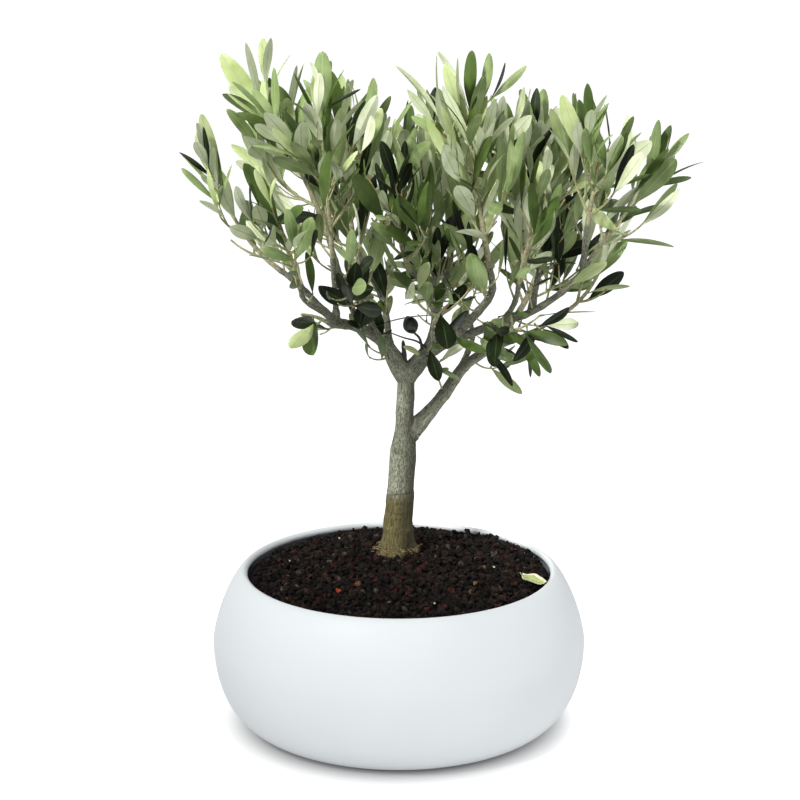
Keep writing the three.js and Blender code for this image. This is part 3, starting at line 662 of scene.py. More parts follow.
# Each point of the skin is given its place along and round the nearest limb
segments = [(name, i) for name in wood_names for i in range(len(limbs[name][0]) - 1)]
seg_start = np.array([limbs[name][0][i] for name, i in segments])
seg_end = np.array([limbs[name][0][i + 1] for name, i in segments])
seg_radius = np.array([limbs[name][1][i : i + 2].mean() for name, i in segments])
seg_travel = np.array([length_of(limbs[name][0][: i + 1]) if i else 0 for name, i in segments])
seg_frame = [frames_along(limbs[name][0])[i] for name, i in segments]
along = seg_end - seg_start
best = np.full(count, np.inf)
owner = np.zeros(count, int)
travel = np.zeros(count)
for i in range(len(segments)):
    share = np.clip((skin - seg_start[i]) @ along[i] / (along[i] @ along[i]), 0, 1)
    gap = np.linalg.norm(skin - seg_start[i] - share[:, None] * along[i], axis=1) - seg_radius[i]
    nearer = gap < best
    best[nearer] = gap[nearer]
    owner[nearer] = i
    travel[nearer] = (seg_travel[i] + share * np.linalg.norm(along[i]))[nearer]
spoke = skin - seg_start[owner]
sides_there = np.array([frame[1] for frame in seg_frame])[owner]
across_there = np.array([frame[2] for frame in seg_frame])[owner]
round_place = np.stack([travel, (spoke * sides_there).sum(1), (spoke * across_there).sum(1)], axis=1)
thickness = seg_radius[owner]
roughness_here = np.clip((thickness - 1.2) / 6, 0.1, 1)


def uneven(place, lengthwise, crosswise, shift=0):
    """Noise on the skin, at a place told along and round its limb."""
    s, a, b = place
    return noise.noise(Vector((s * lengthwise + shift, a * crosswise, b * crosswise)))


on_trunk = owner < TRUNK["rings"]
angle = np.arctan2(skin[:, 1] - TRUNK_FOOT[1], skin[:, 0] - TRUNK_FOOT[0])
relief = np.zeros(count)
crack = np.zeros(count)
for i, place in enumerate(round_place):
    split = 1 - abs(uneven(place, *CRACKS["noise"])) * 2
    crack[i] = max(0, split - CRACKS["from"]) / CRACKS["span"]
    scales = SCALES["height"] * uneven(place, *SCALES["noise"])
    plates = PLATES["height"] * uneven(place, *PLATES["noise"])
    waves = WAVES["height"] * uneven(place, *WAVES["noise"]) * roughness_here[i]
    relief[i] = scales + plates + waves - CRACKS["depth"] * crack[i]
z = skin[:, 2]
ring_there = BARK["ring_height"] + BARK["ring_tilt"] * skin[:, 0] + 0.5 * np.sin(angle * 3)
ring = np.exp(-(((z - ring_there) / BARK["ring_width"]) ** 2)) * on_trunk
ring *= 0.6 + 0.4 * np.sin(angle * 2 + 2.2) * np.sin(angle * 5)
swollen = np.exp(-(((z - BARK["collar"] - 0.8 * np.sin(angle * 2)) / 1.8) ** 2)) * on_trunk
relief = relief * (0.3 + 0.7 * roughness_here) - 0.35 * ring + 0.5 * swollen
at_foot = np.clip((GRAVEL["top"] + 16 - z) / 16, 0, 1) * on_trunk
relief += at_foot**2 * (1.6 * np.sin(3 * angle + 0.7) + 1.2 * np.sin(5 * angle + 2) + 1.2)
skin += normals * relief[:, None]
wood.data.vertices.foreach_set("co", (skin * MM).ravel())
# Painted shade: the trunk is painted darker on its right side and the low bough on its upper side, and every
# other limb evenly a little darker
on_low_bough = np.array([name == "low_right_bough" for name, _ in segments])[owner]
trunk_shade = np.clip((normals[:, 0] + 0.4) / 1.1, 0, 1)
bough_shade = np.clip((0.8 * normals[:, 2] - 0.6 * normals[:, 0] + 0.5) / 1.1, 0, 1)
painted_side_shade = np.where(on_trunk, trunk_shade, np.where(on_low_bough, bough_shade, 0.5))
for name, values in (("fissure", np.clip(crack * roughness_here + ring, 0, 1)), ("painted_side_shade", painted_side_shade)):
    wood.data.attributes.new(name, "FLOAT", "POINT").data.foreach_set("value", values.astype(np.float32))
straight = wood.data.attributes.new("straight", "FLOAT_VECTOR", "POINT")
straight.data.foreach_set("vector", (round_place * MM).astype(np.float32).ravel())
wood.data.shade_smooth()
wood.data.update()

# The mottling of a woody skin, shared by the bark, the twigs and the small dry parts
mottle = mottling("woody_mottle", 6, 0.72, 0.34, 0.64)

bark, tree, shader = finish_of("olive_bark", 0x8F8A74, 0.85)
straightened = made_by(tree, "Attribute", "Vector", attribute_name="straight")
stretch = made_by(tree, "Mapping", "Vector", {"Vector": straightened, "Scale": (0.35, 1, 1)})
grey_skin = mottled(tree, mottle, stretch, 0xB0B39D, 0x1C1E15, 1300)
brown_skin = mottled(tree, mottle, stretch, 0x7E7449, 0x2B2611, 1000)
height = made_by(tree, "SeparateXYZ", "Z", {"Vector": made_by(tree, "TexCoord", "Object")})
brown_from, brown_to = (BARK["ring_height"] + 3) * MM, (BARK["ring_height"] - 6) * MM
below_ring = {"Value": height, "From Min": brown_from, "From Max": brown_to}
color = blended(tree, made_by(tree, "MapRange", "Result", below_ring), grey_skin, brown_skin)
# The fissures and the ring mark are painted dark: partly the bark's own colour there, partly painted shade in
# these hollows
crack_dark_and_shade = made_by(tree, "Attribute", "Fac", attribute_name="fissure")
color = blended(tree, crack_dark_and_shade, color, linear(0x423F2F))
# Painted shade: the side-shade attribute blends the bark towards a dark colour
side_shade = made_by(tree, "Attribute", "Fac", attribute_name="painted_side_shade")
side_shade_amount = made_by(tree, "Math", "Value", {0: side_shade, 1: 0.72}, operation="MULTIPLY")
color = blended(tree, side_shade_amount, color, linear(0x302E22))
bump = bumped(tree, grey_skin.node.outputs["Height"], 0.7, 0.0005)
feed(tree, shader, {"Base Color": color, "Normal": bump})
wood.data.materials.append(bark)
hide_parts(*wood_names)
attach(wood, "root")

# The stub in the fork: a dead, broken-off twig, dark and dry, that the tree has not yet shed. A thin dead
# twig hangs beside it, across the fork.
DEAD_TWIG = ((17.5, 16.2, 243.5), (11, 9.5, 249), (3, 6, 252), (-5, 4, 255.5))
stub_radii = np.linspace(2.1, 1.1, 15) + [0.12 * math.sin(i * 1.9) for i in range(15)]
stub_radii[-1] = 0.5
stub_part = tube(curve_points(lines["fork_stub"], 14), stub_radii, 12)
twig_part = tube(curve_points(DEAD_TWIG, 16), np.linspace(0.75, 0.35, 17), 8)
dead_wood = skin_finish("dead_wood", mottle, 0x4E4A3E, 0x191710, 900, 0.9, (0.8, 0.0005), base=0x3A352C)
stub = make_piece("dead_stub", *joined([stub_part, twig_part]), [dead_wood], sharp=50)
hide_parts("fork_stub")
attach(stub, "root")

# The bud scars: small black pits where side shoots were cut away, on the fork and the low bough. Each is
# set into the bark where the photo shows it.
SCAR_PIXELS = [
    (426, 408, 1.5), (419, 434, 1.3), (427, 356, 1.5), (437, 343, 1.2), (409, 402, 0.9), (396, 452, 0.8),
]
PHOTO_SIZE = 800
bpy.context.view_layer.update()
view_turn = camera.rotation_euler.to_matrix()


def pixel_of(point):
    """Where the camera sees a point that is given in millimetres, in the photo's pixels."""
    offset = view_turn.transposed() @ (Vector(point) * MM - camera.location)
    scale = PHOTO_SIZE * camera.data.lens / camera.data.sensor_width / -offset.z
    return PHOTO_SIZE / 2 + offset.x * scale, PHOTO_SIZE / 2 - offset.y * scale


zoom = camera.data.lens / camera.data.sensor_width
scar_parts = []
for across, down, size in SCAR_PIXELS:
    slope = Vector((across / PHOTO_SIZE - 0.5, 0.5 - down / PHOTO_SIZE, -zoom))
    found, spot, outward, _ = wood.ray_cast(camera.location, view_turn @ slope.normalized())
    if not found:
        continue
    rise = np.linspace(-1, 1, 7)
    line = np.array(spot) / MM + np.outer(rise * size * 0.45, UP) + np.array(outward) * 0.12
    scar_parts.append(tube(line, size * 0.45 * np.sqrt(np.maximum(0.02, 1 - rise**2)), 10))
scar_skin = skin_finish("scar_pit", mottle, 0x2C231A, 0x0C0906, 1500, 0.95, base=0x1A140E)
scars = make_piece("bud_scars", *joined(scar_parts), [scar_skin])
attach(scars, "root")

# The root hairs: dry straw-coloured fibres that the flare of the trunk sends out over the gravel.
straw = skin_finish("straw_fibre", mottle, 0xB7A06F, 0x54452A, 300, 0.8, base=0xA08A5C)
HAIRS = 64
chance = np.random.default_rng(21)
hair_parts = []
for _ in range(HAIRS):
    turn = chance.uniform(0, 2 * math.pi)
    out = np.array((math.cos(turn), math.sin(turn), 0))
    foot = np.array((*TRUNK_FOOT, 0)) + out * chance.uniform(10, 13.5)
    foot[2] = GRAVEL["top"] + chance.uniform(-1, 4)
    aside = np.array((-out[1], out[0], 0)) * chance.normal(0, 1.1)
    swerve = np.array((-out[1], out[0], 0)) * chance.normal(0, 0.5)
    rise = chance.uniform(-0.6, 0.9)
    hair = [foot]
    stride = chance.uniform(0.5, 1.7)
    for step in range(1, 6):
        ahead = out * chance.uniform(0.2, 1) + aside + swerve * step / 2 + UP * (rise - 0.22 * step)
        hair.append(hair[-1] + unit(ahead) * stride)
        hair[-1][2] = max(hair[-1][2], GRAVEL["top"] + chance.uniform(-0.3, 1))
    hair_parts.append(tube(np.array(hair), np.linspace(0.24, 0.1, 6), 5))
hairs = make_piece("root_hairs", *joined(hair_parts), [straw])
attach(hairs, "root")

# The olive: one ripening fruit on a short stalk, dark green turning black, with a waxy skin and faint
# pale flecks.
olive_axis = unit(olive_top - olive_bottom)
olive_shares = np.linspace(0, 1, 22)
olive_swell = np.maximum(0, np.sin(olive_shares * math.pi)) ** OLIVE["fullness"]
olive_line = np.array([olive_bottom + (olive_top - olive_bottom) * share for share in olive_shares])
olive_radii = np.maximum(0.3, OLIVE["radius"] * olive_swell * (1 + 0.05 * np.cos(olive_shares * 2.6)) - 0.1)
fruit_skin, tree, shader = finish_of("olive_skin", 0x20261C, 0.3)
place = made_by(tree, "TexCoord", "Object")
freckles = made_by(tree, "TexVoronoi", "Distance", {"Vector": place, "Scale": 900})
color = two_colors(tree, freckles, (0.12, 0x4E5640), (0.3, 0x1B1F1A))
feed(tree, shader, {"Base Color": color, "Coat Weight": 0.3, "Coat Roughness": 0.2})
fruit_stalk = skin_finish("fruit_stalk", mottle, 0x504E38, 0x221F15, 700, 0.7, base=0x3C3A28)
stalk_line = curve_points((olive_start, OLIVE["stalk"], olive_bottom + unit(olive_axis)), 12)
stalk_part = tube(stalk_line, np.linspace(1, 0.7, 13), 10)
fruit_part = tube(olive_line, olive_radii, 28)
olive_looks = [0] * len(fruit_part[1]) + [1] * len(stalk_part[1])
olive = make_piece("olive_fruit", *joined([fruit_part, stalk_part]), [fruit_skin, fruit_stalk], olive_looks)
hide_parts("olive")
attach(olive, "root")

# The crown: every mass of leaves grows on from the tip of one limb, by one rule. Its stem carries side
# shoots in opposite pairs, and every shoot carries leaves in opposite pairs that turn a quarter from one
# pair to the next. Whatever would leave the mass's own space or touch a limb is turned, then skipped.
LEAF = {
    "length": 54, "sizes": (0.75, 1.11), "youth": 0.2, "slim": 0.27, "widths": (0.88, 1.12), "widest": 0.6,
    "stalk": 3, "keel": 0.6, "droop": 0.05, "lean_low": 0.95, "lean_high": 0.35, "sway": 0.15,
    "twist": 0.25, "lift": 0.25,
}
SHOOT = {
    "base": 1.1, "straight": 0.45, "bends": 2, "lowest": 0.14, "highest": 0.8, "lean": (0.65, 1.05),
    "sizes": (0.8, 1.2), "longest": 1.1, "taper": 0.45, "lift": 0.75, "bare": 0.3, "bare_stem": 16,
    "internode": 13, "last": 0.985,
}
SEAM = 0.3
CELL_MARGIN = 1.4
LIMB_MARGIN = 1.6
TRIES = 4
QUARTER = math.pi / 2


def mass(on, tip, shoots, reach, room, seed, finer, lift=LEAF["lift"]):
    return {
        "on": on, "tip": np.array(tip, float), "shoots": shoots, "reach": reach,
        "room": room, "seed": seed, "finer": finer, "lift": lift,
    }


MASSES = {
    "far_left": mass("left_outer_limb", (-111, -6, 350), 3, 26, 48, 73, 0.3),
    "left_front": mass("left_front_limb", (-72, -44, 334), 4, 34, 54, 6, 0.35),
    "left_low": mass("left_low_limb", (-60, -28, 274), 2, 18, 56, 92, 0, -0.2),
    "left_top": mass("left_tall_limb", (-47, -36, 392), 4, 36, 54, 22, 0.8),
    "upper_left": mass("left_upper_limb", (-85, 10, 394), 4, 36, 54, 29, 1),
    "left_back": mass("left_back_limb", (-25, 44, 378), 4, 36, 56, 46, 1),
    "left_rear": mass("left_rear_limb", (-62, 92, 344), 5, 44, 62, 46, 1),
    "inner_left": mass("inner_left_limb", (-30, -44, 306), 4, 38, 58, 71, 0.6, 0.1),
    "centre_front": mass("centre_front_limb", (2, -44, 352), 5, 40, 58, 46, 0.9),
    "centre_back": mass("centre_back_limb", (4, 56, 364), 4, 36, 58, 34, 1),
    "centre_low": mass("centre_low_limb", (30, -46, 284), 4, 32, 60, 64, 0.4, -0.1),
    "rear": mass("rear_limb", (36, 108, 344), 5, 44, 62, 29, 1),
    "front": mass("front_limb", (42, -44, 401), 5, 40, 60, 3, 0.8),
    "right_low": mass("right_low_limb", (76, -38, 266), 3, 22, 56, 71, 0.5, -0.25),
    "right_inner": mass("right_inner_limb", (88, -32, 350), 4, 36, 56, 78, 0.9),
    "right_back": mass("right_back_limb", (77, 18, 368), 5, 40, 60, 80, 1),
    "right_top": mass("right_tall_limb", (121, -26, 368), 4, 30, 54, 32, 0.8),
    "far_right": mass("right_bough", (153, -6, 348), 4, 26, 46, 30, 0.2),
    "right_rear": mass("low_right_bough", (98, 88, 326), 5, 44, 62, 85, 1),
    "right_outer": mass("right_outer_limb", (132, 34, 298), 3, 30, 54, 77, 0.2),
    "rear_low": mass("rear_low_limb", (34, 114, 280), 3, 36, 56, 11, 0.7, 0),
}


def dice(seed):
    """Seeded dice: each roll gives the next number of one fixed series, scaled to a range."""
    state = (seed * 7919 + 12345) & 0xFFFFFFFF

    def roll(low, high):
        nonlocal state
        state = (state * 1664525 + 1013904223) & 0xFFFFFFFF
        return low + (high - low) * state / 2**32

    return roll


def rounded(value):
    return math.floor(value + 0.5)


def bent(start, knee, tip, steps):
    """Points on the curve that leaves start towards knee and ends at tip."""
    t = np.linspace(0, 1, steps + 1)[:, None]
    return (1 - t) ** 2 * start + 2 * t * (1 - t) * knee + t**2 * tip


def stem_ends(one):
    line = limbs[one["on"]][0]
    ahead = unit(line[-1] - line[-2])
    root = line[-1] + ahead * SEAM
    return root, root + ahead * np.linalg.norm(one["tip"] - root) * SHOOT["straight"], one["tip"]


mass_names = list(MASSES)
stems = [bent(*stem_ends(one), 2 * SHOOT["bends"]) for one in MASSES.values()]
stem_start = np.array([stem[:-1] for stem in stems])
stem_along = np.array([stem[1:] for stem in stems]) - stem_start
limb_start = np.concatenate([points[:-1] for points, _ in limbs.values()])
limb_along = np.concatenate([points[1:] for points, _ in limbs.values()]) - limb_start
limb_thick = np.concatenate([np.maximum(radii[:-1], radii[1:]) for _, radii in limbs.values()])


def line_distances(points, starts, alongs):
    """The nearest that each point comes to each of several straight stretches."""
    offsets = points.reshape(-1, *[1] * (starts.ndim - 1), 3) - starts
    shares = np.clip((offsets * alongs).sum(-1) / (alongs * alongs).sum(-1), 0, 1)
    return np.linalg.norm(offsets - shares[..., None] * alongs, axis=-1)


def clear_of_limbs(points, margin):
    return (line_distances(points, limb_start, limb_along) - limb_thick).min() > margin


def in_space(name, points):
    """Whether all points are within the mass's room and nearer to its stem than to any other."""
    distances = line_distances(points, stem_start, stem_along).min(-1)
    mine = mass_names.index(name)
    near = distances[:, mine]
    others = np.delete(distances, mine, axis=1).min(1)
    return near.max() <= MASSES[name]["room"] and (others >= near + CELL_MARGIN).all()


def shoot_from(start, sets_out, length, bare, order):
    """A shoot sets out one way and turns up towards the light. Its foot is bare for a share of it."""
    knee = start + sets_out * length / 2
    ends = (start, knee, knee + unit(sets_out + UP * SHOOT["lift"]) * length / 2)
    return {"points": bent(*ends, SHOOT["bends"]), "ends": ends, "bare": bare, "order": order}


def shoot_fits(name, points):
    checks = np.array([point_along(points, share) for share in (0.15, 0.3, 0.45, 0.6, 0.8, 1)])
    return clear_of_limbs(checks, LIMB_MARGIN + SHOOT["base"]) and in_space(name, checks)


def frame_at(frames, share):
    return frames[rounded(share * (len(frames) - 1))]


def leaning(frame_here, turn, lean):
    """A direction that leans so far from ahead, towards the side that a turn about ahead gives."""
    ahead, side, across = frame_here
    outwards = side * math.cos(turn) + across * math.sin(turn)
    return ahead * math.cos(lean) + outwards * math.sin(lean)


def shoots_of(name, roll):
    one = MASSES[name]
    stem = stems[mass_names.index(name)]
    bare = min(0.5, SHOOT["bare_stem"] / np.linalg.norm(stem[0] - one["tip"]))
    shoots = [{"points": stem, "ends": stem_ends(one), "bare": bare, "order": 0}]
    frames = frames_along(stem)
    first = roll(0, math.pi)
    pairs = math.ceil(one["shoots"] / 2)
    for i in range(one["shoots"]):
        pair = i // 2
        share = SHOOT["lowest"] + (SHOOT["highest"] - SHOOT["lowest"]) * (pair + roll(0, 0.3)) / pairs
        start = point_along(stem, share)
        length = one["reach"] * (SHOOT["longest"] - SHOOT["taper"] * share) * roll(*SHOOT["sizes"])
        for attempt in range(TRIES):
            swing = 0.25 + attempt / 2
            turn = first + pair * QUARTER + i % 2 * math.pi + roll(-swing, swing)
            sets_out = leaning(frame_at(frames, share), turn, roll(*SHOOT["lean"]))
            shoot = shoot_from(start, sets_out, length, SHOOT["bare"], 1)
            if shoot_fits(name, shoot["points"]):
                shoots.append(shoot)
                break
    return shoots


def outline_of(leaf):
    """A leaf's two widest points, its tip, and the middle between the widest points."""
    wide = np.cross(leaf["way"], leaf["face"])
    middle = leaf["start"] + leaf["way"] * leaf["length"] * LEAF["widest"] + leaf["face"] * LEAF["keel"]
    left = middle - wide * leaf["width"] / 2
    right = middle + wide * leaf["width"] / 2
    tip = leaf["start"] + leaf["way"] * leaf["length"] - leaf["face"] * leaf["length"] * LEAF["droop"]
    return left, right, tip, middle


def leaf_fits(name, leaf):
    start = leaf["start"]
    left, right, tip, middle = outline_of(leaf)
    checks = [left, right, tip, middle]
    for share in (0.25, 0.5, 0.75):
        checks += [start + (left - start) * share, left + (tip - left) * share]
        checks += [start + (right - start) * share, right + (tip - right) * share]
        checks.append(start + (tip - start) * share)
    checks = np.array(checks)
    return in_space(name, checks) and clear_of_limbs(checks, LIMB_MARGIN)


def blade_of(leaf):
    """A leaf's blade beyond its stalk, as two flat triangles and the four edges round them."""
    left, right, tip, _ = outline_of(leaf)
    neck = leaf["start"] + leaf["way"] * LEAF["stalk"]
    sheets = np.array([[neck, left, right], [left, tip, right]])
    edges = np.array([[neck, left], [left, tip], [tip, right], [right, neck]])
    return sheets, edges


def pierces(edges, sheets):
    """Whether any of the edges passes through any of the flat triangles."""
    start = edges[:, None, 0]
    ahead = edges[:, None, 1] - start
    a, b, c = sheets[None, :, 0], sheets[None, :, 1], sheets[None, :, 2]
    normal = np.cross(b - a, c - a)
    facing = (ahead * normal).sum(-1)
    sign = np.sign(facing)
    facing = np.abs(facing)
    offset = start - a
    u = sign * (ahead * np.cross(offset, c - a)).sum(-1)
    v = sign * (ahead * np.cross(b - a, offset)).sum(-1)
    far = -sign * (offset * normal).sum(-1)
    return ((facing > 0) & (u >= 0) & (v >= 0) & (u + v <= facing) & (far >= 0) & (far < facing)).any()


def leaves_of(name, shoots, roll, kept, style):
    """Adds the leaves of some shoots to those kept, in pairs from each shoot's tip down."""
    blades = [blade_of(leaf) for leaf in kept]
    sheets = [blade[0] for blade in blades]
    edges = [blade[1] for blade in blades]
    for shoot in shoots:
        if shoot.get("leafy"):
            continue
        shoot["leafy"] = True
        frames = frames_along(shoot["points"])
        others = [other["points"] for other in shoots if other is not shoot]
        runs = [np.stack([line[:-1], line[1:]], axis=1) for line in others]
        stretches = np.concatenate(runs) if runs else None
        leafy = length_of(shoot["points"]) * (1 - shoot["bare"])
        pairs = max(2, rounded(leafy / style["internode"]) + 1)
        first = roll(0, math.pi)
        for i in reversed(range(2 * pairs)):
            pair = i // 2
            ripe = pair / (pairs - 1)
            share = shoot["bare"] + (1 - shoot["bare"]) * ripe * SHOOT["last"]
            start = point_along(shoot["points"], share)
            frame_here = frame_at(frames, share)
            for attempt in range(TRIES):
                twist = LEAF["twist"] * (1 + attempt)
                sway = LEAF["sway"] * (1 + attempt / 2)
                turn = first + pair * QUARTER + (i + 1) % 2 * math.pi + roll(-twist, twist)
                lean = LEAF["lean_low"] + (LEAF["lean_high"] - LEAF["lean_low"]) * ripe + roll(-sway, sway)
                way = unit(leaning(frame_here, turn, lean) + UP * MASSES[name]["lift"])
                length = style["length"] * (1 - LEAF["youth"] * ripe * ripe) * roll(*LEAF["sizes"])
                face = unit(frame_here[0] - way * frame_here[0].dot(way))
                width = length * LEAF["slim"] * roll(*LEAF["widths"])
                leaf = {"start": start, "way": way, "face": face, "length": length, "width": width}
                leaf.update(mass=name, ripe=ripe, shoot=shoot)
                if not leaf_fits(name, leaf):
                    continue
                new_sheets, new_edges = blade_of(leaf)
                if sheets and pierces(new_edges, np.concatenate(sheets)):
                    continue
                if edges and pierces(np.concatenate(edges), new_sheets):
                    continue
                if stretches is not None and pierces(stretches, new_sheets):
                    continue
                kept.append(leaf)
                sheets.append(new_sheets)
                edges.append(new_edges)
                break


# The finer growth: short twigs along every shoot beyond its bare foot, with smaller leaves, in the same
# space and by the same rule.
FINE = {
    "gap": 8, "sizes": (13, 27), "lean": (0.4, 0.8), "foot": {0: 0.4, 1: 0.2}, "head": 0.94,
    "bare": 0.3, "internode": 9, "length": 42,
}


def finer_shoots(name, shoots, roll):
    grown = []
    for shoot in shoots:
        low = FINE["foot"][shoot["order"]]
        count = rounded(length_of(shoot["points"]) * (FINE["head"] - low) / FINE["gap"])
        frames = frames_along(shoot["points"])
        first = roll(0, 2 * math.pi)
        for i in range(count):
            share = low + (FINE["head"] - low) * (i + roll(0, 1)) / count
            start = point_along(shoot["points"], share)
            if roll(0, 1) > MASSES[name]["finer"]:
                continue
            for attempt in range(TRIES):
                turn = first + i * 2.4 + roll(-0.5, 0.5) * (1 + attempt)
                sets_out = leaning(frame_at(frames, share), turn, roll(*FINE["lean"]))
                finer = shoot_from(start, sets_out, roll(*FINE["sizes"]), FINE["bare"], 2)
                if shoot_fits(name, finer["points"]):
                    grown.append(finer)
                    break
    return grown


# The spurs: short twigs with a few small leaves that fill the shade inside the crown. They grow straight
# from the inner limbs, and each keeps to the space of the mass whose stem is nearest.
SPURS = {
    "left_bough": 9, "middle_bough": 6, "right_bough": 12, "low_right_bough": 3,
    "left_outer_limb": 2, "left_tall_limb": 7, "left_front_limb": 3, "left_upper_limb": 7,
    "left_back_limb": 9, "left_rear_limb": 9, "inner_left_limb": 8, "centre_front_limb": 9,
    "centre_back_limb": 9, "centre_low_limb": 2, "rear_limb": 9, "front_limb": 9,
    "right_low_limb": 2, "right_inner_limb": 5, "right_back_limb": 8, "right_tall_limb": 2,
}
SPUR = {
    "places": (0.2, 0.98), "sizes": (12, 28), "lean": (0.7, 1.3), "clear_from": 0.4, "tries": 16,
    "bare": 0.45, "internode": 8, "length": 40,
}


def nearest_mass(point):
    distances = line_distances(point[None], stem_start, stem_along).min(-1)[0]
    return mass_names[int(np.argmin(distances))]


def spur_fits(name, points):
    checks = np.array([point_along(points, share) for share in (SPUR["clear_from"], 0.7, 1)])
    return clear_of_limbs(checks, LIMB_MARGIN + SHOOT["base"]) and in_space(name, checks[1:])


def grow_spurs(limb, count, roll, spurs):
    """Adds the spurs of a limb to those of the masses whose space they reach."""
    line = limbs[limb][0]
    frames = frames_along(line)
    low, high = SPUR["places"]
    for i in range(count):
        for attempt in range(SPUR["tries"]):
            share = low + (high - low) * (i + roll(0, 1)) / count
            start = point_along(line, share)
            sets_out = leaning(frame_at(frames, share), roll(0, 2 * math.pi), roll(*SPUR["lean"]))
            spur = shoot_from(start, sets_out, roll(*SPUR["sizes"]), SPUR["bare"], 3)
            name = nearest_mass(spur["points"][-1])
            if spur_fits(name, spur["points"]):
                spurs[name].append(spur)
                break


spur_roll = dice(3)
spurs = {name: [] for name in mass_names}
for limb, count in SPURS.items():
    grow_spurs(limb, count, spur_roll, spurs)

# The photo shows open sky under the crown's left side and at the bare fork, so a leaf whose tip hangs there
# is left out, and so is one at a gap in the crown, told by its pixel and reach. It also shows three pale
# stems in front of the dark leaves, so a leaf in front of one of them is left out too.
UNDERSIDE = {"height": 246, "from": -28}
LEFT_LOW = {"height": 248, "from": -76}
FORK = {"left": -22, "right": 24, "height": 260, "behind": 12}
GAPS = [
    (295, 188, 20), (362, 84, 13), (212, 222, 12), (620, 112, 10), (322, 352, 12), (535, 326, 13),
    (212, 84, 17), (411, 325, 18),
]
GAP_SHARE = 0.6
LEAF_SHARES = (0.15, 0.35, 0.55, 0.75, 0.95)
SHOWN_STEMS = {"left_top": "left_tall_limb", "front": "front_limb", "right_top": "right_tall_limb"}
STEM_SHARE = 0.45
STEM_REACH = 3.5
stem_views = []
for name, limb in SHOWN_STEMS.items():
    stem = stems[mass_names.index(name)]
    seen_points = [point_along(limbs[limb][0], share) for share in np.linspace(0, 1, 16)]
    seen_points += [point_along(stem, share) for share in np.linspace(0.05, STEM_SHARE, 16)]
    stem_views += [(*pixel_of(point), point[1]) for point in seen_points]


def shows(leaf):
    _, _, tip, middle = outline_of(leaf)
    for share in LEAF_SHARES:
        spot = leaf["start"] + (tip - leaf["start"]) * share
        across, down = pixel_of(spot)
        if any(spot[1] < y and math.hypot(across - u, down - v) < STEM_REACH for u, v, y in stem_views):
            return False
        if any(math.hypot(across - u, down - v) < GAP_SHARE * reach for u, v, reach in GAPS):
            return False
    if leaf["mass"] == "left_low":
        return tip[0] > LEFT_LOW["from"] and tip[2] > LEFT_LOW["height"]
    if tip[0] < UNDERSIDE["from"] and tip[2] < UNDERSIDE["height"] + UNDERSIDE["from"] - tip[0]:
        return False
    if FORK["left"] < tip[0] < FORK["right"] and tip[2] < FORK["height"] and tip[1] < FORK["behind"]:
        return False
    across, down = pixel_of(middle)
    return all(math.hypot(across - u, down - v) > reach for u, v, reach in GAPS)


# The photo's fuller places. A shoot grows towards each from the nearest limb or twig that has room for it.
FULLER = [
    (60, -32, 402), (74, -20, 386), (-68, -44, 300), (-62, -50, 292), (-76, -36, 306), (64, -48, 300),
    (70, -36, 292), (-118, -8, 376), (-112, -8, 382), (154, -8, 388), (128, -20, 322), (140, -10, 334),
    (-46, -38, 410), (-48, -46, 400), (100, -30, 280), (88, -40, 262),
]
FULLER_SHOOT = {"nearest": 14, "longest": 30, "share": 0.8, "choices": 60}


def fuller_shoot(name, target, shoots):
    """A shoot towards the target from the nearest point of the limbs or of a mass's twigs, if it fits."""
    starts = [point_along(line, share) for line, _ in limbs.values() for share in np.linspace(0.3, 0.95, 8)]
    for shoot in shoots:
        foot = max(0.4, shoot["bare"])
        starts += [point_along(shoot["points"], share) for share in np.linspace(foot, 1, 6)]
    starts.sort(key=lambda start: np.linalg.norm(target - start))
    for start in starts[: FULLER_SHOOT["choices"]]:
        distance = np.linalg.norm(target - start)
        if distance < FULLER_SHOOT["nearest"]:
            continue
        length = min(FULLER_SHOOT["longest"], distance * FULLER_SHOOT["share"])
        shoot = shoot_from(start, unit(target - start), length, SPUR["bare"], 3)
        if spur_fits(name, shoot["points"]):
            return shoot
    return None


all_shoots, all_leaves = [], []
for name in mass_names:
    roll = dice(MASSES[name]["seed"])
    shoots = shoots_of(name, roll)
    leaves = []
    leaves_of(name, shoots, roll, leaves, {"internode": SHOOT["internode"], "length": LEAF["length"]})
    roll = dice(1)
    shoots += finer_shoots(name, shoots, roll)
    leaves_of(name, shoots, roll, leaves, FINE)
    shoots += spurs[name]
    leaves_of(name, shoots, roll, leaves, SPUR)
    for target in np.array(FULLER, float):
        added = fuller_shoot(name, target, shoots) if nearest_mass(target) == name else None
        if added:
            shoots.append(added)
    leaves_of(name, shoots, roll, leaves, SPUR)
    leaves = [leaf for leaf in leaves if shows(leaf)]
    leafy = {id(leaf["shoot"]) for leaf in leaves}
    shoots = [shoot for shoot in shoots if shoot["order"] < 2 or id(shoot) in leafy]
    for shoot in shoots:
        shoot["mass"] = name
    all_shoots += shoots
    all_leaves += leaves

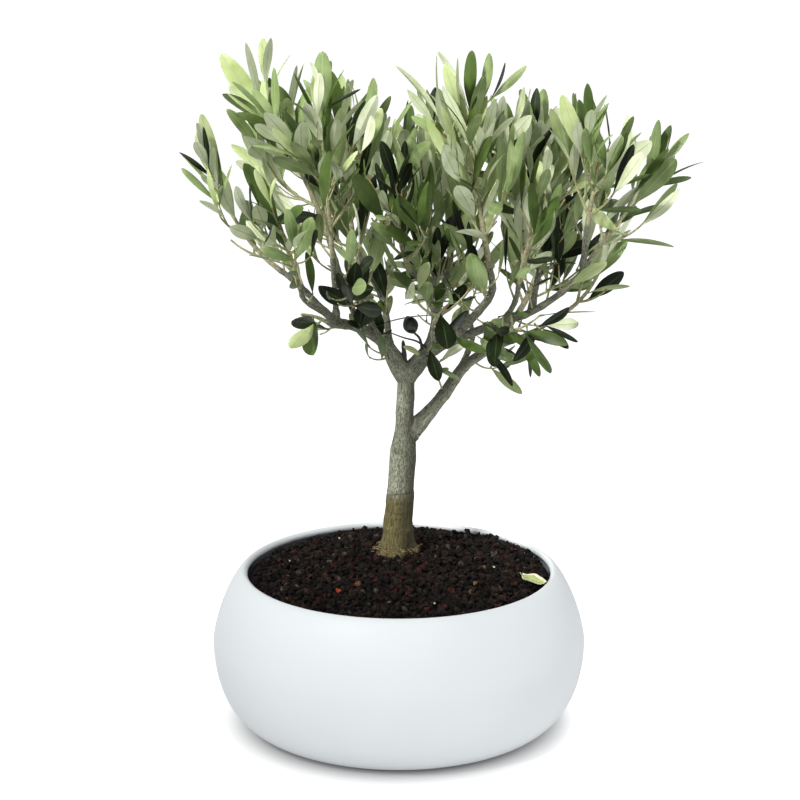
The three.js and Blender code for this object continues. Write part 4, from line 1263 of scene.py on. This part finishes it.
# Some leaves that the photo shows one by one: a dark one across the olive, seen nearly edge on, a small pale
# one by the fork, and the tall ones at the tips of three masses. Each is told by the limb or mass it grows
# on and how far along, its tip, the way its face looks, its width and its tint.
SHOWN_LEAVES = [
    ("middle_bough", 0.96, (-17.4, -14, 267.5), (0, 0, 1), 6.5, 0),
    ("middle_bough", 0.36, (4.6, 6, 248), (0.2, -0.8, 0.6), 6, 3),
    ("far_left", 1, (-120, -10, 396), (0.3, -1, 0), 13, 3),
    ("left_top", 1, (-45, -42, 437), (0.2, -1, 0), 16, 2),
    ("far_right", 1, (158, -10, 392), (0, -1, 0.1), 11, 2),
    ("far_right", 0.93, (167, -3, 390), (-0.5, -1, 0), 10, 1),
]
for on, share, tip, up, width, tint in SHOWN_LEAVES:
    line = limbs[on][0] if on in limbs else stems[mass_names.index(on)]
    start = point_along(line, share)
    ahead = np.array(tip) - start
    way = unit(ahead)
    face = unit(np.array(up) - way * way.dot(up))
    leaf = {"start": start, "way": way, "face": face, "length": np.linalg.norm(ahead), "width": width}
    leaf.update(ripe=1, shoot={"points": line}, tint=tint)
    leaf["mass"] = on if on in MASSES else "inner_left"
    all_leaves.append(leaf)

# The twigs: slender grey-green shoots that thin towards their tips, a little swollen at each joint and
# tan where they are youngest.
TWIG_RADII = {0: (1.5, 0.85), 1: (0.95, 0.55), 2: (0.6, 0.4), 3: (0.7, 0.4)}
TWIG_STEPS = {0: 20, 1: 10, 2: 7, 3: 7}
YOUNG_FROM = 0.9
GREEN_FROM = 0.45


def twig_finish(name, light, dark):
    return skin_finish(name, mottle, light, dark, 500, 0.65, (0.4, 0.0003))


twig_finishes = [
    twig_finish("grown_twig", 0xB3AC8C, 0x6A6650),
    twig_finish("green_twig", 0xB3B488, 0x7D7F5A),
    twig_finish("tan_tip", 0xA98E60, 0x7A6A42),
]
twig_parts, twig_looks = [], []
for shoot in all_shoots:
    order = shoot["order"]
    line = bent(*shoot["ends"], TWIG_STEPS[order])
    thick, thin = TWIG_RADII[order]
    sides = 6
    if order == 0:
        sides = 9
        thick = limbs[MASSES[shoot["mass"]]["on"]][1][-1]
        line = np.vstack([line[0] - unit(line[1] - line[0]) * 1.5, line])
    radii = np.linspace(thick, thin, len(line))
    radii[1:-1:2] *= 1.08
    points, faces = tube(line, radii, sides)
    twig_parts.append((points, faces))
    shares = np.minimum(np.arange(len(faces)) // sides, len(line) - 2) / (len(line) - 2)
    looks = np.where(shares > YOUNG_FROM, 2, 1)
    if order == 0:
        looks[shares <= GREEN_FROM] = 0
    twig_looks += list(looks)
twigs = make_piece("twigs", *joined(twig_parts), twig_finishes, twig_looks, sharp=60)
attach(twigs, "root")

# The leaves: leathery, long and narrow, widest past the middle, each on a short stalk. They are dark
# green and satin above with a pale midrib, and silvery below. Tints are dealt out by spray and by height:
# darker greens low and inside the crown are painted shade, paler greens and silvery undersides above are
# painted sunlight.
STATIONS = np.array([0, 0.03, 0.065, 0.11, 0.18, 0.28, 0.4, 0.52, 0.64, 0.76, 0.86, 0.93, 0.975, 1])
COLUMNS = np.array([-1, -0.52, -0.045, 0.045, 0.52, 1])


def breadth(share, widest, point):
    """The leaf's outline: its width at a share of its length, as a share of its widest."""
    if share < widest:
        return math.sin(share / widest * math.pi / 2) ** 1.25
    return (1 - ((share - widest) / (1 - widest)) ** 2) ** point


def leaf_mesh(leaf, chance):
    """The rings of one leaf: its upper skin from edge to edge, then its lower skin back again."""
    length = leaf["length"] * (0.8 + 0.2 * smooth_step(0.3, 1, leaf["ripe"]))
    half = leaf["width"] / 2
    way, face = leaf["way"], leaf["face"]
    wide = np.cross(way, face)
    bow = chance.uniform(-0.02, 0.07)
    droop = chance.uniform(-0.02, 0.15)
    sickle = chance.uniform(-0.045, 0.045)
    twist = chance.uniform(-0.4, 0.4)
    fold = chance.uniform(0.08, 0.36)
    curl = chance.uniform(0.1, 0.35)
    widest = chance.uniform(0.52, 0.66)
    point = chance.uniform(0.5, 0.72)
    half *= chance.uniform(0.68, 0.98)
    rings = []
    for t in STATIONS:
        turned_wide = wide * math.cos(twist * t) + face * math.sin(twist * t)
        turned_face = face * math.cos(twist * t) - wide * math.sin(twist * t)
        middle = (
            leaf["start"]
            + way * length * (t - 0.5 * droop * t**3)
            + face * length * (2 * bow * t * (1 - t) - droop * t**2.4)
            + wide * length * sickle * t**2
        )
        stalk = 1 - smooth_step(0.03, 0.11, t)
        reach_out = max(half * breadth(t, widest, point), 0.55 * stalk, 0.05)
        thick = 0.17 + 0.4 * stalk + 0.13 * (1 - t)
        spread = COLUMNS * reach_out
        rise = np.abs(COLUMNS) * reach_out * fold * (1 - stalk) - curl * reach_out * COLUMNS**4 * (1 - stalk)
        bulge = thick * (1 - np.abs(COLUMNS) ** 1.5)
        upper = middle + np.outer(spread, turned_wide) + np.outer(rise + bulge, turned_face)
        lower = middle + np.outer(spread, turned_wide) + np.outer(rise - bulge, turned_face)
        rings.append(np.vstack([upper, lower[4:0:-1]]))
    return np.array(rings)


# The drift of colour over a leaf's skin and its fine pores, shared by every leaf finish
leaf_drift = mottling("leaf_drift", 3, 0.5, 0.3, 0.7, pores=1400)
# deep_green and pale_under serve mostly as painted shade, and the near-white silver_under is partly the
# underside's own silver, partly a painted highlight
LEAF_FINISHES = {
    "deep_green": (0x1D2A12, 0x080E03, 0.45),
    "olive_green": (0x576B34, 0x2F4119, 0.42),
    "grey_green": (0x98AB76, 0x667A46, 0.42),
    "young_green": (0xC2CE9C, 0x91A362, 0.42),
    "silver_under": (0xEAF0D4, 0xBCC89C, 0.5),
    "pale_under": (0x9DAD79, 0x667848, 0.52),
    "midrib": (0xAEBA88, 0x8C9A6C, 0.45),
    "dark_midrib": (0x4C5C35, 0x344322, 0.45),
}
leaf_finishes = [
    skin_finish(name, leaf_drift, light, dark, 55, roughness, (0.25, 0.0002), 0.22)
    for name, (light, dark, roughness) in LEAF_FINISHES.items()
]
# The shares of the four greens in the shade and in the sun, which paint shade on the low, inner crown and
# sunlight on its high, outer leaves; the heights between which this painted sun comes in; and how often a
# leaf keeps its spray's green or shows a silvery underside, which is painted more often in the sun
SHADED = np.array((0.64, 0.28, 0.06, 0.02))
SUNLIT = np.array((0.2, 0.32, 0.26, 0.22))
SUN = {"low": 285, "high": 360, "axis": (18, 14), "outward": 0.3}
SAME_GREEN = 0.6
SILVERY, SILVERY_IN_SUN = 0.18, 0.56
SIDES = {
    "left": ["far_left", "left_front", "left_low", "left_top", "upper_left", "left_back", "left_rear"],
    "middle": ["inner_left", "centre_front", "centre_back", "centre_low", "rear", "front", "rear_low"],
    "right": [
        "right_low", "right_inner", "right_back", "right_top", "far_right", "right_rear", "right_outer",
    ],
}
ring_size = 2 * len(COLUMNS) - 2
last_ring = (len(STATIONS) - 1) * ring_size
leaf_faces = ring_faces(len(STATIONS), ring_size)
leaf_faces += [tuple(reversed(range(ring_size))), tuple(range(last_ring, last_ring + ring_size))]
chance = np.random.default_rng(5)
shown_chance = np.random.default_rng(8)
for side, names in SIDES.items():
    leaf_parts, looks = [], []
    spray_tint = {}
    for leaf in all_leaves:
        if leaf["mass"] not in names:
            continue
        dealer = shown_chance if "tint" in leaf else chance
        key = id(leaf["shoot"])
        outward = np.linalg.norm(leaf["start"][:2] - SUN["axis"])
        sun = smooth_step(SUN["low"], SUN["high"], leaf["start"][2] + SUN["outward"] * outward)
        shares = SHADED + (SUNLIT - SHADED) * sun
        if key not in spray_tint:
            spray_tint[key] = dealer.choice(4, p=shares)
        tint = spray_tint[key] if dealer.random() < SAME_GREEN else dealer.choice(4, p=shares)
        tint = leaf.get("tint", tint)
        under = 4 if dealer.random() < SILVERY + SILVERY_IN_SUN * sun else 5
        leaf_parts.append((leaf_mesh(leaf, dealer).reshape(-1, 3), leaf_faces))
        # The finish of each strip of a ring: five on the upper side, with the midrib third, then the lower
        stalk = [7 if tint < 2 else 6] * 5 + [6] * 5
        blade = [tint] * 5 + [under] * 5
        blade[2], blade[7] = stalk[2], stalk[7]
        looks += stalk * 2 + blade * (len(STATIONS) - 3) + [6, tint]
    foliage = make_piece(f"{side}_leaves", *joined(leaf_parts), leaf_finishes, looks, sharp=70)
    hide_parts(*[f"{name}_leaves" for name in names])
    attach(foliage, "root")
